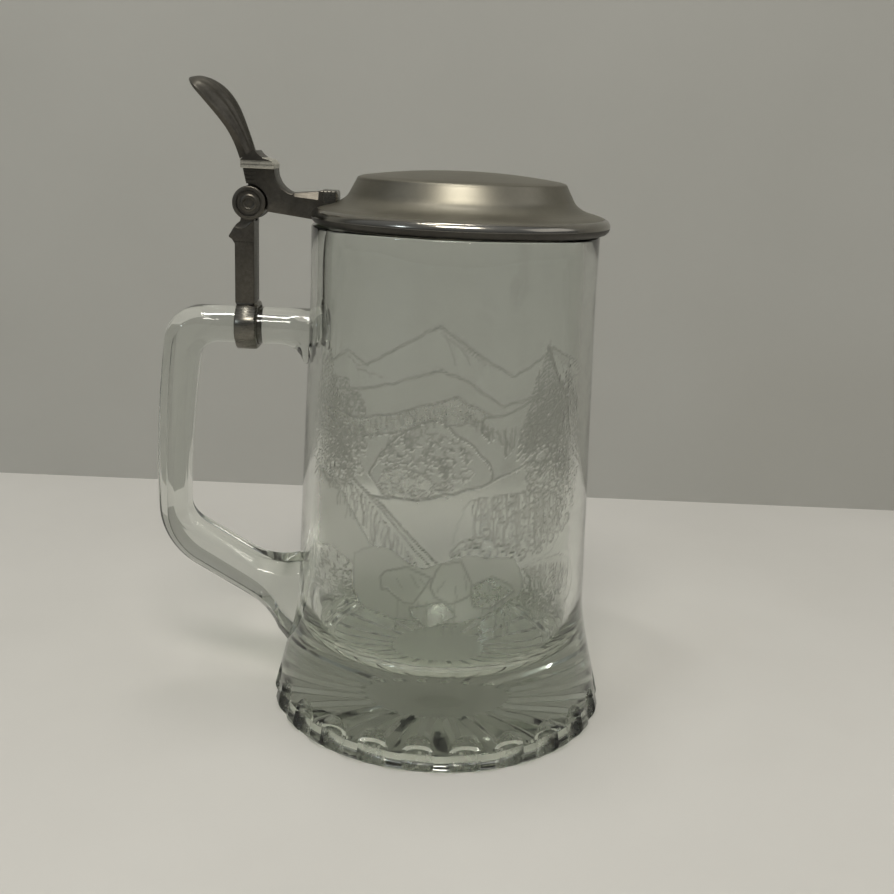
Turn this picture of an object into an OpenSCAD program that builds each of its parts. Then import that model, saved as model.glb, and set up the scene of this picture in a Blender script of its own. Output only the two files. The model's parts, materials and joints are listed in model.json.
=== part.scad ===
// Half-litre pressed-glass beer stein with a hinged pewter lid.
// Origin: centre of the resting plane. +Z is up. The handle is on the -X side and the lid's
// hinge pin runs along Y, so the front of the stein faces -Y.

/* [Glass body] */
// Height of the rim above the resting plane
rim_z = 148.3; // [140:0.1:156]
// Outer radius of the wall at the rim
rim_r = 42; // [40:0.25:43]
// Wall thickness at the rim
rim_wall = 4; // [3:0.25:4.5]
// Outer radius at the waist, where the wall meets the flared base
waist_r = 44.8; // [44:0.1:46]
// Height of the waist
waist_z = 36; // [33:0.5:40]
// Largest radius of the flared base
heel_r = 52; // [50:0.25:54]
// Radius of the rounded bottom edge
heel_round = 2.2; // [1.5:0.1:3]
// Height of the inside floor, which is solid glass down to the foot
floor_z = 21.8; // [18:0.2:26]
// Radius between the inside floor and the wall
floor_fillet = 9.5; // [6:0.5:11]
// Inside radius of the wall just above that fillet
bore_low_r = 40.1; // [39:0.1:41]

/* [Base pattern] */
// Number of flutes round the base and of rays under it
flutes = 24; // [12:1:28]
// Turn of the flutes about the vertical axis, from the front
flute_turn = -5; // [-7.5:0.5:7.5]
// Depth of a flute
flute_depth = 1.6; // [0.8:0.1:2]
// Height at which the flutes' arched tops begin
flute_high_z = 8; // [7:0.5:10]
// Depth of the hollow under the base
foot_hollow = 1.5; // [1:0.1:2.5]

/* [Handle] */
// Thickness of the handle, seen from the side
grip_t = 10.5; // [10:0.25:12]
// Width of the handle, along Y
grip_w = 13.4; // [12:0.2:14]
// Chamfer along the handle's edges
grip_chamfer = 3.4; // [2.5:0.1:4]
// Height of the middle of the top bar
bar_z = 117.5; // [115:0.5:119]
// X where the outer corner of the handle starts to turn down
corner_out_x = -74.3; // [-76:0.1:-73]
// X where the inner corner starts to turn down
corner_in_x = -69.4; // [-71:0.1:-69.2]
// X where the fillet under the top bar starts, next to the body
bar_root_x = -50.5; // [-52:0.1:-49.5]
// Slope of the lower bar, in degrees below level
low_slope = 30.2; // [29:0.1:32]

/* [Band] */
// Width of the metal band along the handle's top bar
band_w = 6.4; // [5.6:0.1:9]
// Thickness of the metal band
band_t = 1.25; // [1:0.05:1.6]
// Thickness of the liner between the band and the glass
liner_t = 0.4; // [0.3:0.05:0.6]

/* [Hinge] */
// X of the hinge axis
hinge_x = -59.6; // [-60.4:0.1:-59]
// Height of the hinge axis
hinge_z = 153.4; // [153:0.1:154]
// Radius of the hinge's knuckles
knuckle_r = 4.85; // [4.6:0.05:5.2]
// Width of the hinge along Y
hinge_w = 11; // [10:0.25:13]
// Width of the middle knuckle
mid_w = 3.6; // [3:0.1:4.4]
// Gap between neighbouring knuckles
knuckle_gap = 0.15; // [0.1:0.05:0.3]
// Radius of the hinge pin
pin_r = 1.5; // [1.2:0.05:1.8]
// Running clearance of the pin in the middle knuckle
pin_play = 0.05; // [0.02:0.01:0.1]
// Radius of the caps that close the pin's hole
cap_r = 2.6; // [2.3:0.05:3]
// Width of the post along X
post_w = 5.6; // [5:0.1:7]
// Depth of the post along Y
post_d = 9; // [8:0.25:10.5]

/* [Lid] */
// Offset of the lid's centre from the stein's axis, away from the hinge
lid_x = 1.3; // [0.6:0.1:1.6]
// Radius of the lid's brim
brim_r = 43.35; // [43:0.05:44.5]
// Radius of the raised crown
crown_r = 30.4; // [28:0.2:32]
// Thickness of the metal
lid_t = 1.7; // [1.4:0.1:2]
// Depth of the locating ring inside the glass
ring_depth = 3; // [2:0.25:4]
// Gap between the lid and the glass rim at rest
seat_gap = 0.3; // [0.25:0.05:0.5]

/* [Thumblift] */
// Widest part of the thumblift's shell, along Y
thumb_w = 17; // [14:0.5:20]
// Thickness of the shell's metal
thumb_t = 2.2; // [1.8:0.1:2.8]

/* [Hidden] */
$fn = 96;
GLASS = [0.80, 0.85, 0.82];
PEWTER = [0.62, 0.60, 0.56];
DARK_PEWTER = [0.40, 0.38, 0.35];
STEEL = [0.72, 0.73, 0.75];
FIBRE = [0.30, 0.28, 0.25];
// Cutting shapes reach this far past the faces they cut
over = 1;

// Points along an arc about [x, z], from angle a0 to a1
function arc(x, z, r, a0, a1, n) =
    [for (i = [0 : n]) let (a = a0 + (a1 - a0) * i / n) [x + r * cos(a), z + r * sin(a)]];

// Section of the handle with every face moved out by grow
corner_share = 2 - sqrt(2);
function grip_section(grow) =
    let (t = grip_t / 2 + grow, w = grip_w / 2 + grow, c = grip_chamfer + corner_share * grow)
    [[t, w - c], [t - c, w], [c - t, w], [-t, w - c], [-t, c - w], [c - t, -w], [t - c, -w], [t, c - w]];

// Turns a profile drawn in X and Z into a plate of thickness w, centred on Y
module plate(w) {
    rotate([90, 0, 0])
        linear_extrude(height = w, center = true)
            children();
}

// A cylinder along Y, centred on the hinge axis
module on_hinge(r, w, y = 0) {
    translate([hinge_x, y, hinge_z])
        rotate([90, 0, 0])
            cylinder(r = r, h = w, center = true);
}

// ---- Glass body ----

// The flare is straight above the heel and then sweeps up into the wall
flare_top_z = 22;
flare_top_r = 47.2;
flare_lean = atan2(heel_r - flare_top_r, flare_top_z - heel_round);
// Above this height the wall is a plain cylinder
wall_straight_z = 130;
rim_round = 1.6;
// Inner radius of the ring that the glass stands on, and the step at its inner edge
foot_r = 43.5;
foot_step = 1;

// The sweep between the flare and the wall is a parabola. Its corner is where the two meet.
sweep_corner_z = 31;
sweep_corner_r = 45.05;
function sweep_point(t) =
    (1 - t) * (1 - t) * [flare_top_r, flare_top_z]
    + 2 * t * (1 - t) * [sweep_corner_r, sweep_corner_z]
    + t * t * [waist_r, waist_z];

outer_profile = concat(
    arc(heel_r - heel_round, heel_round, heel_round, -90, flare_lean, 5),
    [for (i = [0 : 6]) sweep_point(i / 6)],
    [[rim_r, wall_straight_z]],
    arc(rim_r - rim_round, rim_z - rim_round, rim_round, 0, 90, 5));

bore_r = rim_r - rim_wall;
inner_profile = concat(
    arc(bore_r + rim_round, rim_z - rim_round, rim_round, 90, 180, 5),
    [[bore_r, wall_straight_z]],
    arc(bore_low_r - floor_fillet, floor_z + floor_fillet, floor_fillet, 0, -90, 8),
    [[0, floor_z]]);

module body_outside() {
    rotate_extrude()
        polygon(concat([[0, 0]], outer_profile, [[0, rim_z]]));
}

// One flute: a round-ended groove that follows the slope of the flare and runs out on the heel
flute_r = 7.5;
module flute() {
    translate([0, -(heel_r + flute_r - flute_depth), heel_round])
        rotate([-flare_lean, 0, 0]) {
            translate([0, 0, -heel_round - over])
                cylinder(r = flute_r, h = flute_high_z + over, $fn = 48);
            translate([0, 0, flute_high_z - heel_round])
                sphere(r = flute_r, $fn = 48);
        }
}

// One ray under the base: a shallow V
ray_w = 3.6;
ray_depth = 0.8;
ray_start_r = 15;
ray_end_r = 42;
module ray() {
    translate([0, -ray_start_r, foot_hollow])
        rotate([90, 0, 0])
            linear_extrude(height = ray_end_r - ray_start_r)
                polygon([[-ray_w / 2, -over], [ray_w / 2, -over], [ray_w / 2, 0],
                         [0, ray_depth], [-ray_w / 2, 0]]);
}

module glass_body() {
    color(GLASS)
    difference() {
        rotate_extrude()
            polygon(concat([[0, foot_hollow], [foot_r - foot_step, foot_hollow], [foot_r, 0]],
                           outer_profile, inner_profile));
        for (i = [0 : flutes - 1])
            rotate(flute_turn + i * 360 / flutes)
                flute();
        for (i = [0 : flutes - 1])
            rotate(flute_turn + i * 360 / flutes)
                ray();
    }
}

// ---- Glass handle ----

// The handle is swept between two outlines seen from the front. Each outline is a chain of
// tangent arcs and lines, and both have the same number of points.
bar_top = bar_z + grip_t / 2;
bar_low = bar_z - grip_t / 2;
// Radii of the fillet under the bar, the upper corner, the bowed leg and the knee
root_r = 7;
corner_out_r = 11.2;
corner_in_r = 6.4;
leg_out_r = 310;
leg_in_r = 340;
knee_out_r = 22.3;
knee_in_r = 7;
// Angles at which the arcs meet: 90 is the top bar and 180 is straight down
leg_out_start = 172.1;
leg_in_start = 171.8;
leg_out_end = 181.9;
leg_in_end = 179.4;
low_turn = 270 - low_slope;
// The lower bar flares onto the body from here, below and above
flare_x = -60;
flare_out_r = 22;
flare_out_turn = 36;
flare_in_r = 20;
flare_in_turn = 45;
// The bar's section stays square to X from its root to here, so that the band and liner fit it
bar_end_x = -69;
// The sweep's two end rings lie inside the body's glass, which cuts them off
root_end_x = -35.5;
low_end_in = [-38, 44];
low_end_out = [-42, 10];

// Points of an arc of radius r that starts at p, where its radius points at angle a0
function arc_from(p, r, a0, a1, n) = arc(p[0] - r * cos(a0), p[1] - r * sin(a0), r, a0, a1, n);
function last(points) = points[len(points) - 1];
function from_second(points) = [for (i = [1 : len(points) - 1]) points[i]];
// The point at x on the line that leaves p along the lower bar
function along_low(p, x) = [x, p[1] - (x - p[0]) * tan(low_slope)];

root_arc = arc(bar_root_x, bar_low - root_r, root_r, 15, 90, 4);
inner_corner = arc_from([corner_in_x, bar_low], corner_in_r, 90, leg_in_start, 6);
inner_leg = arc_from(last(inner_corner), leg_in_r, leg_in_start, leg_in_end, 5);
inner_knee = arc_from(last(inner_leg), knee_in_r, leg_in_end, low_turn, 6);
inner_flare = arc_from(along_low(last(inner_knee), flare_x), flare_in_r,
                       low_turn, low_turn + flare_in_turn, 5);
inner_line = concat(
    [[root_end_x, bar_low - root_r]], root_arc, [[bar_end_x, bar_low]], inner_corner,
    from_second(inner_leg), from_second(inner_knee), inner_flare, [low_end_in]);

outer_corner = arc_from([corner_out_x, bar_top], corner_out_r, 90, leg_out_start, 6);
outer_leg = arc_from(last(outer_corner), leg_out_r, leg_out_start, leg_out_end, 5);
outer_knee = arc_from(last(outer_leg), knee_out_r, leg_out_end, low_turn, 6);
outer_flare = arc_from(along_low(last(outer_knee), flare_x), -flare_out_r,
                       low_turn, low_turn - flare_out_turn, 5);
outer_line = concat(
    [[root_end_x, bar_top]], [for (q = root_arc) [q[0], bar_top]], [[bar_end_x, bar_top]],
    outer_corner, from_second(outer_leg), from_second(outer_knee), outer_flare, [low_end_out]);

// Eight corners of the section between an inner and an outer point
function grip_ring(inner, outer, w) =
    let (t = norm(outer - inner), u = (outer - inner) / t, c = grip_chamfer)
    [for (q = [[t, w - c], [t - c, w], [c, w], [0, w - c], [0, c - w], [c, -w], [t - c, -w], [t, c - w]])
        [inner[0] + u[0] * q[0], q[1], inner[1] + u[1] * q[0]]];

// The handle spreads sideways over the rings nearest the body
root_rings = 3;
root_spread = 0.5;
flare_rings = 6;
flare_spread = 1.6;
function spread(i, n) =
    i < root_rings ? root_spread * (root_rings - i) / root_rings
    : i > n - flare_rings ? flare_spread * pow((i - n + flare_rings) / flare_rings, 2) : 0;

// Skin of a closed sweep: count points to a ring, rings joined by triangles
function sweep_faces(rings, count) = concat(
    [for (j = [0 : rings - 2]) for (i = [0 : count - 1])
        let (a = j * count + i, b = j * count + (i + 1) % count)
        each [[a, b + count, b], [a, a + count, b + count]]],
    [[for (i = [0 : count - 1]) i],
     [for (i = [count - 1 : -1 : 0]) (rings - 1) * count + i]]);

module glass_handle() {
    rings = len(inner_line);
    color(GLASS)
    difference() {
        polyhedron(
            points = [for (i = [0 : rings - 1])
                each grip_ring(inner_line[i], outer_line[i], grip_w / 2 + spread(i, rings - 1))],
            faces = sweep_faces(rings, 8), convexity = 6);
        body_outside();
    }
}

// ---- Band, liner and post ----

post_x = -61.1;
band_x = -60.6;
band_out = liner_t + band_t;
// The liner stops this far inside each edge of the band
liner_inset = 0.2;

// A ring round the top bar between two offsets of the handle's section
module bar_ring(grow_in, grow_out, w) {
    translate([band_x - w / 2, 0, bar_z])
        rotate([0, 90, 0])
            linear_extrude(height = w)
                difference() {
                    polygon(grip_section(grow_out));
                    polygon(grip_section(grow_in));
                }
}

module band_liner() {
    color(FIBRE)
        bar_ring(0, liner_t, band_w - 2 * liner_inset);
}

module handle_band() {
    color(PEWTER)
        bar_ring(liner_t, band_out, band_w);
}

post_low_z = bar_top + band_out;
// The stop spur on the post's left: its shoulder, tip and underside
spur_top = [-64.3, 146.1];
spur_tip = [-65.7, 143.75];
spur_under = [-64.7, 142.9];
spur_root_z = 141.6;
// The neck above it, under the knuckle
neck_left = [-62.3, 148.2];
neck_in = 2.4;
post_edge = 0.8;
// The front and rear edges are bevelled up to this height
bevel_stop_z = 137;
knuckle_w = (hinge_w - mid_w) / 2 - knuckle_gap;
// The arm's hollow round a knuckle, and the post's slot round the middle one
notch_r = knuckle_r + 0.6;
cap_depth = 1;
cap_proud = 0.3;

// Post seen from the front, with its stop spur on the handle side
module post_outline() {
    left = post_x - post_w / 2;
    right = post_x + post_w / 2;
    polygon([[left, post_low_z], [right, post_low_z], [right, hinge_z - knuckle_r / 2],
             [hinge_x - neck_in, hinge_z - knuckle_r / 2], neck_left, spur_top, spur_tip, spur_under,
             [left, spur_root_z]]);
}

// Keeps the post's upright edges from being sharp
module post_bevels() {
    for (side = [-1, 1])
        translate([post_x + side * post_w / 2, 0, 0])
            for (face = [-1, 1])
                translate([0, face * post_d / 2, post_low_z - over])
                    rotate(45)
                        linear_extrude(height = bevel_stop_z - post_low_z + over)
                            square(post_edge * sqrt(2), center = true);
}

module hinge_post() {
    color(DARK_PEWTER)
    difference() {
        union() {
            difference() {
                plate(post_d)
                    post_outline();
                post_bevels();
            }
            for (side = [-1, 1])
                on_hinge(knuckle_r, knuckle_w, side * (hinge_w - knuckle_w) / 2);
        }
        on_hinge(notch_r, mid_w + 2 * knuckle_gap);
        on_hinge(pin_r, hinge_w + over);
        for (side = [-1, 1])
            on_hinge(cap_r, 2 * cap_depth, side * hinge_w / 2);
    }
}

module hinge_pin() {
    color(STEEL)
        on_hinge(pin_r, hinge_w - 2 * cap_depth);
}

// A turned cap: a disc with a raised rim and a sunk middle
cap_rim_in = 1.5;
cap_rim_out = 2.2;
cap_slope = 0.2;
module hinge_cap(side) {
    color(DARK_PEWTER)
    translate([hinge_x, side * (hinge_w / 2 - cap_depth), hinge_z])
        rotate([-side * 90, 0, 0])
            rotate_extrude()
                polygon([[0, 0], [cap_r, 0], [cap_r, cap_depth], [cap_rim_out, cap_depth + cap_proud],
                         [cap_rim_in, cap_depth + cap_proud], [cap_rim_in - cap_slope, cap_depth],
                         [0, cap_depth]]);
}

module hinge_cap_front() {
    hinge_cap(-1);
}

module hinge_cap_rear() {
    hinge_cap(1);
}

// ---- Lid ----

seat_z = rim_z + seat_gap;
// The brim's rolled edge is an arc of this radius
brim_roll = 2.2;
// The locating ring hangs inside the glass, and clears it as the lid turns
ring_clear = 0.7;
ring_r = bore_r - lid_x - ring_clear;
ring_t = 1.6;
ring_edge = 0.4;
crown_round = 0.8;
crown_edge_z = seat_z + 13.6;
crown_rise = 2.4;
crown_top_z = seat_z + 16.1;

// Outer face of the lid from the brim's lower edge to the crown
lid_outside = concat(
    [[brim_r - brim_roll + 0.3, seat_z]],
    arc(brim_r - brim_roll, seat_z + brim_roll, brim_roll, -60, 70, 6),
    [[40.2, seat_z + 4.9], [37.9, seat_z + 5.5], [36.1, seat_z + 6.1], [34.6, seat_z + 6.9],
     [33.4, seat_z + 7.8], [32.6, seat_z + 8.8], [31.8, seat_z + 10.3]],
    arc(crown_r - crown_round, crown_edge_z - crown_round, crown_round, 15, 75, 4),
    [for (i = [1 : 6])
        let (r = (crown_r - crown_round - 1) * (1 - i / 6))
        [r, crown_top_z - crown_rise * pow(r / crown_r, 2)]]);

// Inner face, from the crown down to the inside of the locating ring
lid_inside = [
    [0, crown_top_z - lid_t], [14, crown_top_z - 0.5 - lid_t], [crown_r - 2.4, crown_edge_z - 0.4 - lid_t],
    [crown_r - 1, seat_z + 9.5], [crown_r + 0.6, seat_z + 7.2], [crown_r + 2.6, seat_z + 5.2],
    [ring_r - ring_t, seat_z + 2.4], [ring_r - ring_t, seat_z - ring_depth]];

module lid_solid(inside) {
    translate([lid_x, 0, 0])
        rotate_extrude()
            polygon(concat([[ring_r - ring_edge, seat_z - ring_depth],
                            [ring_r, seat_z - ring_depth + 2 * ring_edge], [ring_r, seat_z]],
                           lid_outside, inside));
}

module lid() {
    color(PEWTER)
        lid_solid(lid_inside);
}

// ---- Lid arm ----

arm_w = 10;
// Heights of the shank's two faces, and of the neck that carries the thumblift
arm_low_z = 151.2;
arm_top_z = 157.3;
neck_top_z = 163.1;
neck_left_x = -61.4;
neck_right_x = -52.4;
// The hollow curve between the neck and the shank
crook_r = 7;
crook_turn = 70;
// The tab at the arm's end, which lies on the brim and stands a little above the shank
tab_start_x = -39.3;
tab_end_x = -34.4;
tab_step = 0.4;
// Right end of the arm's lower face
arm_low_end = [-41.5, 149.5];

// Arm seen from the front: a neck above the hinge, a hollow curve and a flat shank to the lid
arm_profile = concat(
    [[hinge_x - 0.5, hinge_z + knuckle_r - 1.2], [neck_left_x, neck_top_z], [neck_right_x, neck_top_z]],
    arc(neck_right_x + crook_r, neck_top_z, crook_r, 180, 180 + crook_turn, 6),
    [[tab_start_x, arm_top_z], [tab_start_x, arm_top_z + tab_step], [tab_end_x, arm_top_z + tab_step],
     [tab_end_x, arm_low_end[1]], arm_low_end, [hinge_x + knuckle_r, arm_low_z]]);

module lid_arm() {
    color(DARK_PEWTER)
    difference() {
        union() {
            plate(arm_w)
                polygon(arm_profile);
            on_hinge(knuckle_r - knuckle_gap, mid_w);
        }
        for (side = [-1, 1])
            on_hinge(notch_r, hinge_w, side * (hinge_w + mid_w) / 2);
        on_hinge(pin_r + pin_play, hinge_w + over);
        lid_solid([[0, seat_z - ring_depth]]);
    }
}

// ---- Thumblift ----

// The collar is a moulding between the neck and the shell, which steps up to the shell on the right
collar_d = 11;
collar_left = -62;
collar_top_z = 166;
collar_right = -52.4;
collar_edge = 0.6;
collar_steps = [[-52.4, 164.4], [-53.2, 165.5], [-55.7, 166.2], [-56.9, 167.1], [-57.8, 168.2]];

// Spine of the shell as a cubic curve from the collar to the tip, in X and Z
spine = [[-60, 164.6], [-62.4, 172.2], [-66.6, 184.3], [-77, 187.6]];
function spine_at(t) =
    pow(1 - t, 3) * spine[0] + 3 * t * pow(1 - t, 2) * spine[1]
    + 3 * t * t * (1 - t) * spine[2] + pow(t, 3) * spine[3];
function spine_dir(t) = let (d = spine_at(t + 0.01) - spine_at(t - 0.01)) d / norm(d);

// Half width, height of the arch and thickness of the metal, from the collar (0) to the tip (1)
thumb_base_w = 8.4;
function shell_half_w(t) =
    lookup(t, [[0, 0], [0.2, 0.06], [0.4, 0.4], [0.6, 0.84], [0.75, 1], [0.86, 0.96], [0.94, 0.74],
               [0.98, 0.45], [1, 0.1]])
    * (thumb_w - thumb_base_w) / 2 + (t < 0.86 ? 1 : 1 - 0.75 * pow((t - 0.86) / 0.14, 2))
    * thumb_base_w / 2;
function shell_arch(t) = lookup(t, [[0, 2.1], [0.3, 2.9], [0.55, 4.7], [0.72, 4.9], [0.9, 3.2], [1, 0.6]]);
function shell_thick(t) = thumb_t * lookup(t, [[0, 1.3], [0.4, 1], [0.8, 0.85], [1, 0.5]]);

// One ring of points: an arched face towards the lid and a hollow face towards the handle
shell_side = 8;
shell_count = 2 * (shell_side + 1);
shell_steps = 20;
function shell_ring(t) =
    let (c = spine_at(t), d = spine_dir(t), n = [d[1], -d[0]],
         w = shell_half_w(t), h = shell_arch(t), k = shell_thick(t))
    concat(
        [for (i = [0 : shell_side])
            let (s = -1 + 2 * i / shell_side, q = (h + k) / 2 - h * s * s)
            [c[0] + n[0] * q, w * s, c[1] + n[1] * q]],
        [for (i = [shell_side : -1 : 0])
            let (s = -1 + 2 * i / shell_side, q = (h + k) / 2 - k - 0.9 * (h - 0.4) * s * s)
            [c[0] + n[0] * q, 0.94 * w * s, c[1] + n[1] * q]]);

module thumb_shell() {
    polyhedron(
        points = [for (j = [0 : shell_steps]) each shell_ring(j / shell_steps)],
        faces = sweep_faces(shell_steps + 1, shell_count), convexity = 4);
}

module collar_outline() {
    polygon(concat(
        [[collar_left, neck_top_z + collar_edge], [collar_left + collar_edge, neck_top_z],
         [collar_right - collar_edge, neck_top_z], [collar_right, neck_top_z + collar_edge]],
        collar_steps,
        [[collar_left + collar_edge, collar_top_z], [collar_left, collar_top_z - collar_edge]]));
}

module thumblift() {
    color(PEWTER)
    union() {
        thumb_shell();
        plate(collar_d)
            collar_outline();
    }
}

glass_body();
glass_handle();
band_liner();
handle_band();
hinge_post();
hinge_pin();
hinge_cap_front();
hinge_cap_rear();
lid();
lid_arm();
thumblift();
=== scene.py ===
"""Looks of the lidded glass stein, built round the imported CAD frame.

Sizes inside the modelling functions are in millimetres, and MM turns them into metres.
The front of the stein faces -Y, the handle is on the -X side and the hinge pin runs along Y.
"""

import json
import math

import bmesh
import bpy
import numpy as np
from mathutils import Matrix, Vector


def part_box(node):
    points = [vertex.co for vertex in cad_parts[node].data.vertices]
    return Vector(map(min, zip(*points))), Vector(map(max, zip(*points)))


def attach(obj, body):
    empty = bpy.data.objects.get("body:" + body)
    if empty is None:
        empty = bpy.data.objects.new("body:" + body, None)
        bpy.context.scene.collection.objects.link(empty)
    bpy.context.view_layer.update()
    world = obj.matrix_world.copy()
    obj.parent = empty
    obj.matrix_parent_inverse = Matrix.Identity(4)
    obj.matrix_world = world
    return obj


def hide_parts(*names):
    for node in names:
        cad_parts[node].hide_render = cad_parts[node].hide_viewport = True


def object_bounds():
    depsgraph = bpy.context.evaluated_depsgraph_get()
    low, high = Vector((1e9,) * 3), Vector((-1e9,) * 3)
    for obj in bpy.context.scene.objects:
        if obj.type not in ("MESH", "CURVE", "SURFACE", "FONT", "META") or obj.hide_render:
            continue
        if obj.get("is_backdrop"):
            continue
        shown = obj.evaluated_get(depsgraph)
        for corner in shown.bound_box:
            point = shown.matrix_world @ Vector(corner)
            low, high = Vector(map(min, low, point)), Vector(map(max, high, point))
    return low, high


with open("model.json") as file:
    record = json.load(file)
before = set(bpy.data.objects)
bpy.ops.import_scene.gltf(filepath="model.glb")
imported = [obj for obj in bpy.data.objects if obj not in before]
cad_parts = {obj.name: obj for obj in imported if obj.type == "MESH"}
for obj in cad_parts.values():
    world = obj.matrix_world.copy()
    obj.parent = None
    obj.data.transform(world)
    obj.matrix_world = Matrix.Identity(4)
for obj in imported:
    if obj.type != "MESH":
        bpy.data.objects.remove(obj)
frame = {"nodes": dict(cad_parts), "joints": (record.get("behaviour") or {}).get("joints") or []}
MM = 0.001

# ---- places taken from the frame


def box_mm(node):
    """The low and high corners of a CAD node's box, in millimetres."""
    return [np.array(corner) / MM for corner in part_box(node)]


GLASS_HIGH = box_mm("glass_body")[1]
BAND_LOW, BAND_HIGH = box_mm("handle_band")
POST_LOW, POST_HIGH = box_mm("hinge_post")
LID_LOW, LID_HIGH = box_mm("lid")
ARM_LOW, ARM_HIGH = box_mm("lid_arm")
THUMB_LOW, THUMB_HIGH = box_mm("thumblift")

HINGE = next(j for j in frame["joints"] if j["name"] == "lid_hinge")
HINGE_X = HINGE["pos_m"][0] / MM
HINGE_Z = HINGE["pos_m"][2] / MM

# ---- mesh helpers


def add_to_scene(name, data):
    obj = bpy.data.objects.new(name, data)
    bpy.context.scene.collection.objects.link(obj)
    return obj


def new_object(name, vertices, faces):
    """A smooth-shaded object from points in millimetres."""
    mesh = bpy.data.meshes.new(name)
    mesh.from_pydata((np.asarray(vertices, float) * MM).tolist(), [], faces)
    mesh.update()
    obj = add_to_scene(name, mesh)
    mesh.polygons.foreach_set("use_smooth", [True] * len(mesh.polygons))
    return obj


def outward(obj):
    """Turns every face outwards."""
    bm = bmesh.new()
    bm.from_mesh(obj.data)
    bmesh.ops.recalc_face_normals(bm, faces=bm.faces)
    bm.to_mesh(obj.data)
    bm.free()
    return obj


def apply_modifiers(obj):
    """Bakes the modifiers into the mesh."""
    depsgraph = bpy.context.evaluated_depsgraph_get()
    depsgraph.update()
    mesh = bpy.data.meshes.new_from_object(obj.evaluated_get(depsgraph))
    obj.modifiers.clear()
    old = obj.data
    obj.data = mesh
    bpy.data.meshes.remove(old)
    mesh.name = obj.name
    return obj


def combine(obj, other, operation):
    """Adds another object to obj or takes it away, which uses the other up."""
    modifier = obj.modifiers.new("combine", "BOOLEAN")
    modifier.operation = operation
    modifier.solver = "MANIFOLD"
    modifier.object = other
    apply_modifiers(obj)
    mesh = other.data
    bpy.data.objects.remove(other)
    bpy.data.meshes.remove(mesh)
    return obj


def cut(obj, other):
    return combine(obj, other, "DIFFERENCE")


def join(obj, other):
    return combine(obj, other, "UNION")


def bevel(obj, width, segments=3, angle=28):
    """Rounds the edges sharper than angle."""
    modifier = obj.modifiers.new("bevel", "BEVEL")
    modifier.width = width * MM
    modifier.segments = segments
    modifier.limit_method = "ANGLE"
    modifier.angle_limit = math.radians(angle)
    modifier.use_clamp_overlap = True
    return apply_modifiers(obj)


def crease(obj, angle):
    """Smooth shading, with creases at edges sharper than angle."""
    mesh = obj.data
    mesh.polygons.foreach_set("use_smooth", [True] * len(mesh.polygons))
    mesh.set_sharp_from_angle(angle=math.radians(angle))
    return obj


def places_of(elements, key):
    """Places of a mesh's points or faces in millimetres, one row each."""
    places = np.zeros(len(elements) * 3)
    elements.foreach_get(key, places)
    return places.reshape(-1, 3) / MM


def paint(obj, name, values):
    """Stores one value per point, for a material to read."""
    attribute = obj.data.attributes.new(name, "FLOAT", "POINT")
    attribute.data.foreach_set("value", np.asarray(values, np.float32))


def arc(cx, cz, r, a0, a1, n):
    """Points of an arc in a plane, from angle a0 to a1 in degrees."""
    turn = np.radians(np.linspace(a0, a1, n + 1))
    return np.stack([cx + r * np.cos(turn), cz + r * np.sin(turn)], 1).tolist()


def arc_from(p, r, a0, a1, n):
    """Points of an arc that starts at p, where its radius points at angle a0."""
    a = math.radians(a0)
    return arc(p[0] - r * math.cos(a), p[1] - r * math.sin(a), r, a0, a1, n)


def smooth_line(points, per=6):
    """A rounded line through the points, with per steps between neighbours."""
    p = np.asarray(points, float)
    p = np.vstack([2 * p[0] - p[1], p, 2 * p[-1] - p[-2]])
    out = []
    for i in range(1, len(p) - 2):
        for t in np.arange(per) / per:
            a = 2 * p[i]
            b = p[i + 1] - p[i - 1]
            c = 2 * p[i - 1] - 5 * p[i] + 4 * p[i + 1] - p[i + 2]
            d = 3 * p[i] - p[i - 1] - 3 * p[i + 1] + p[i + 2]
            out.append((0.5 * (a + b * t + c * t * t + d * t ** 3)).tolist())
    return out + [p[-2].tolist()]


def lathe(name, profile, columns, centre=(0, 0)):
    """A solid of revolution about an upright axis. The profile is a loop of (radius, height),
    or a chain with both ends on the axis."""
    turn = [2 * math.pi * k / columns for k in range(columns)]
    vertices, rings = [], []
    for r, z in profile:
        start, count = len(vertices), columns if r > 1e-6 else 1
        vertices += [(centre[0] + r * math.cos(a), centre[1] + r * math.sin(a), z) for a in turn[:count]]
        rings.append([start + k % count for k in range(columns)])
    pairs = list(zip(rings, rings[1:]))
    if profile[0][0] > 1e-6:
        pairs.append((rings[-1], rings[0]))
    faces = []
    for low, high in pairs:
        for k in range(columns):
            n = (k + 1) % columns
            corners = list(dict.fromkeys([low[k], low[n], high[n], high[k]]))
            if len(corners) > 2:
                faces.append(corners)
    return outward(new_object(name, vertices, faces))


def oblong(x0, x1, z0, z1):
    """Outline of a rectangle in X and Z."""
    return [(x0, z0), (x1, z0), (x1, z1), (x0, z1)]


def plate(name, outline, thickness, y=0.0):
    """An outline in X and Z made into a plate, centred on y."""
    n = len(outline)
    vertices = [(x, y + half, z) for half in (-thickness / 2, thickness / 2) for x, z in outline]
    faces = [list(range(n)), list(range(2 * n - 1, n - 1, -1))]
    faces += [[i, n + i, n + (i + 1) % n, (i + 1) % n] for i in range(n)]
    return outward(new_object(name, vertices, faces))


def drum(name, r, width, y=0.0, columns=96):
    """A cylinder on the hinge's axis, centred on y."""
    return plate(name, arc(HINGE_X, HINGE_Z, r, 0, 360 - 360 / columns, columns - 1), width, y)


def sweep(name, rings):
    """A solid through rings of equal point counts, with both ends closed."""
    count = len(rings[0])
    vertices = [p for ring in rings for p in ring]
    faces = []
    last = (len(rings) - 1) * count
    for start in range(0, last, count):
        for i in range(count):
            a, b = start + i, start + (i + 1) % count
            faces.append([a, b, b + count, a + count])
    faces += [list(range(count)), list(range(last + count - 1, last - 1, -1))]
    return outward(new_object(name, vertices, faces))


# ---- material helpers


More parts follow.
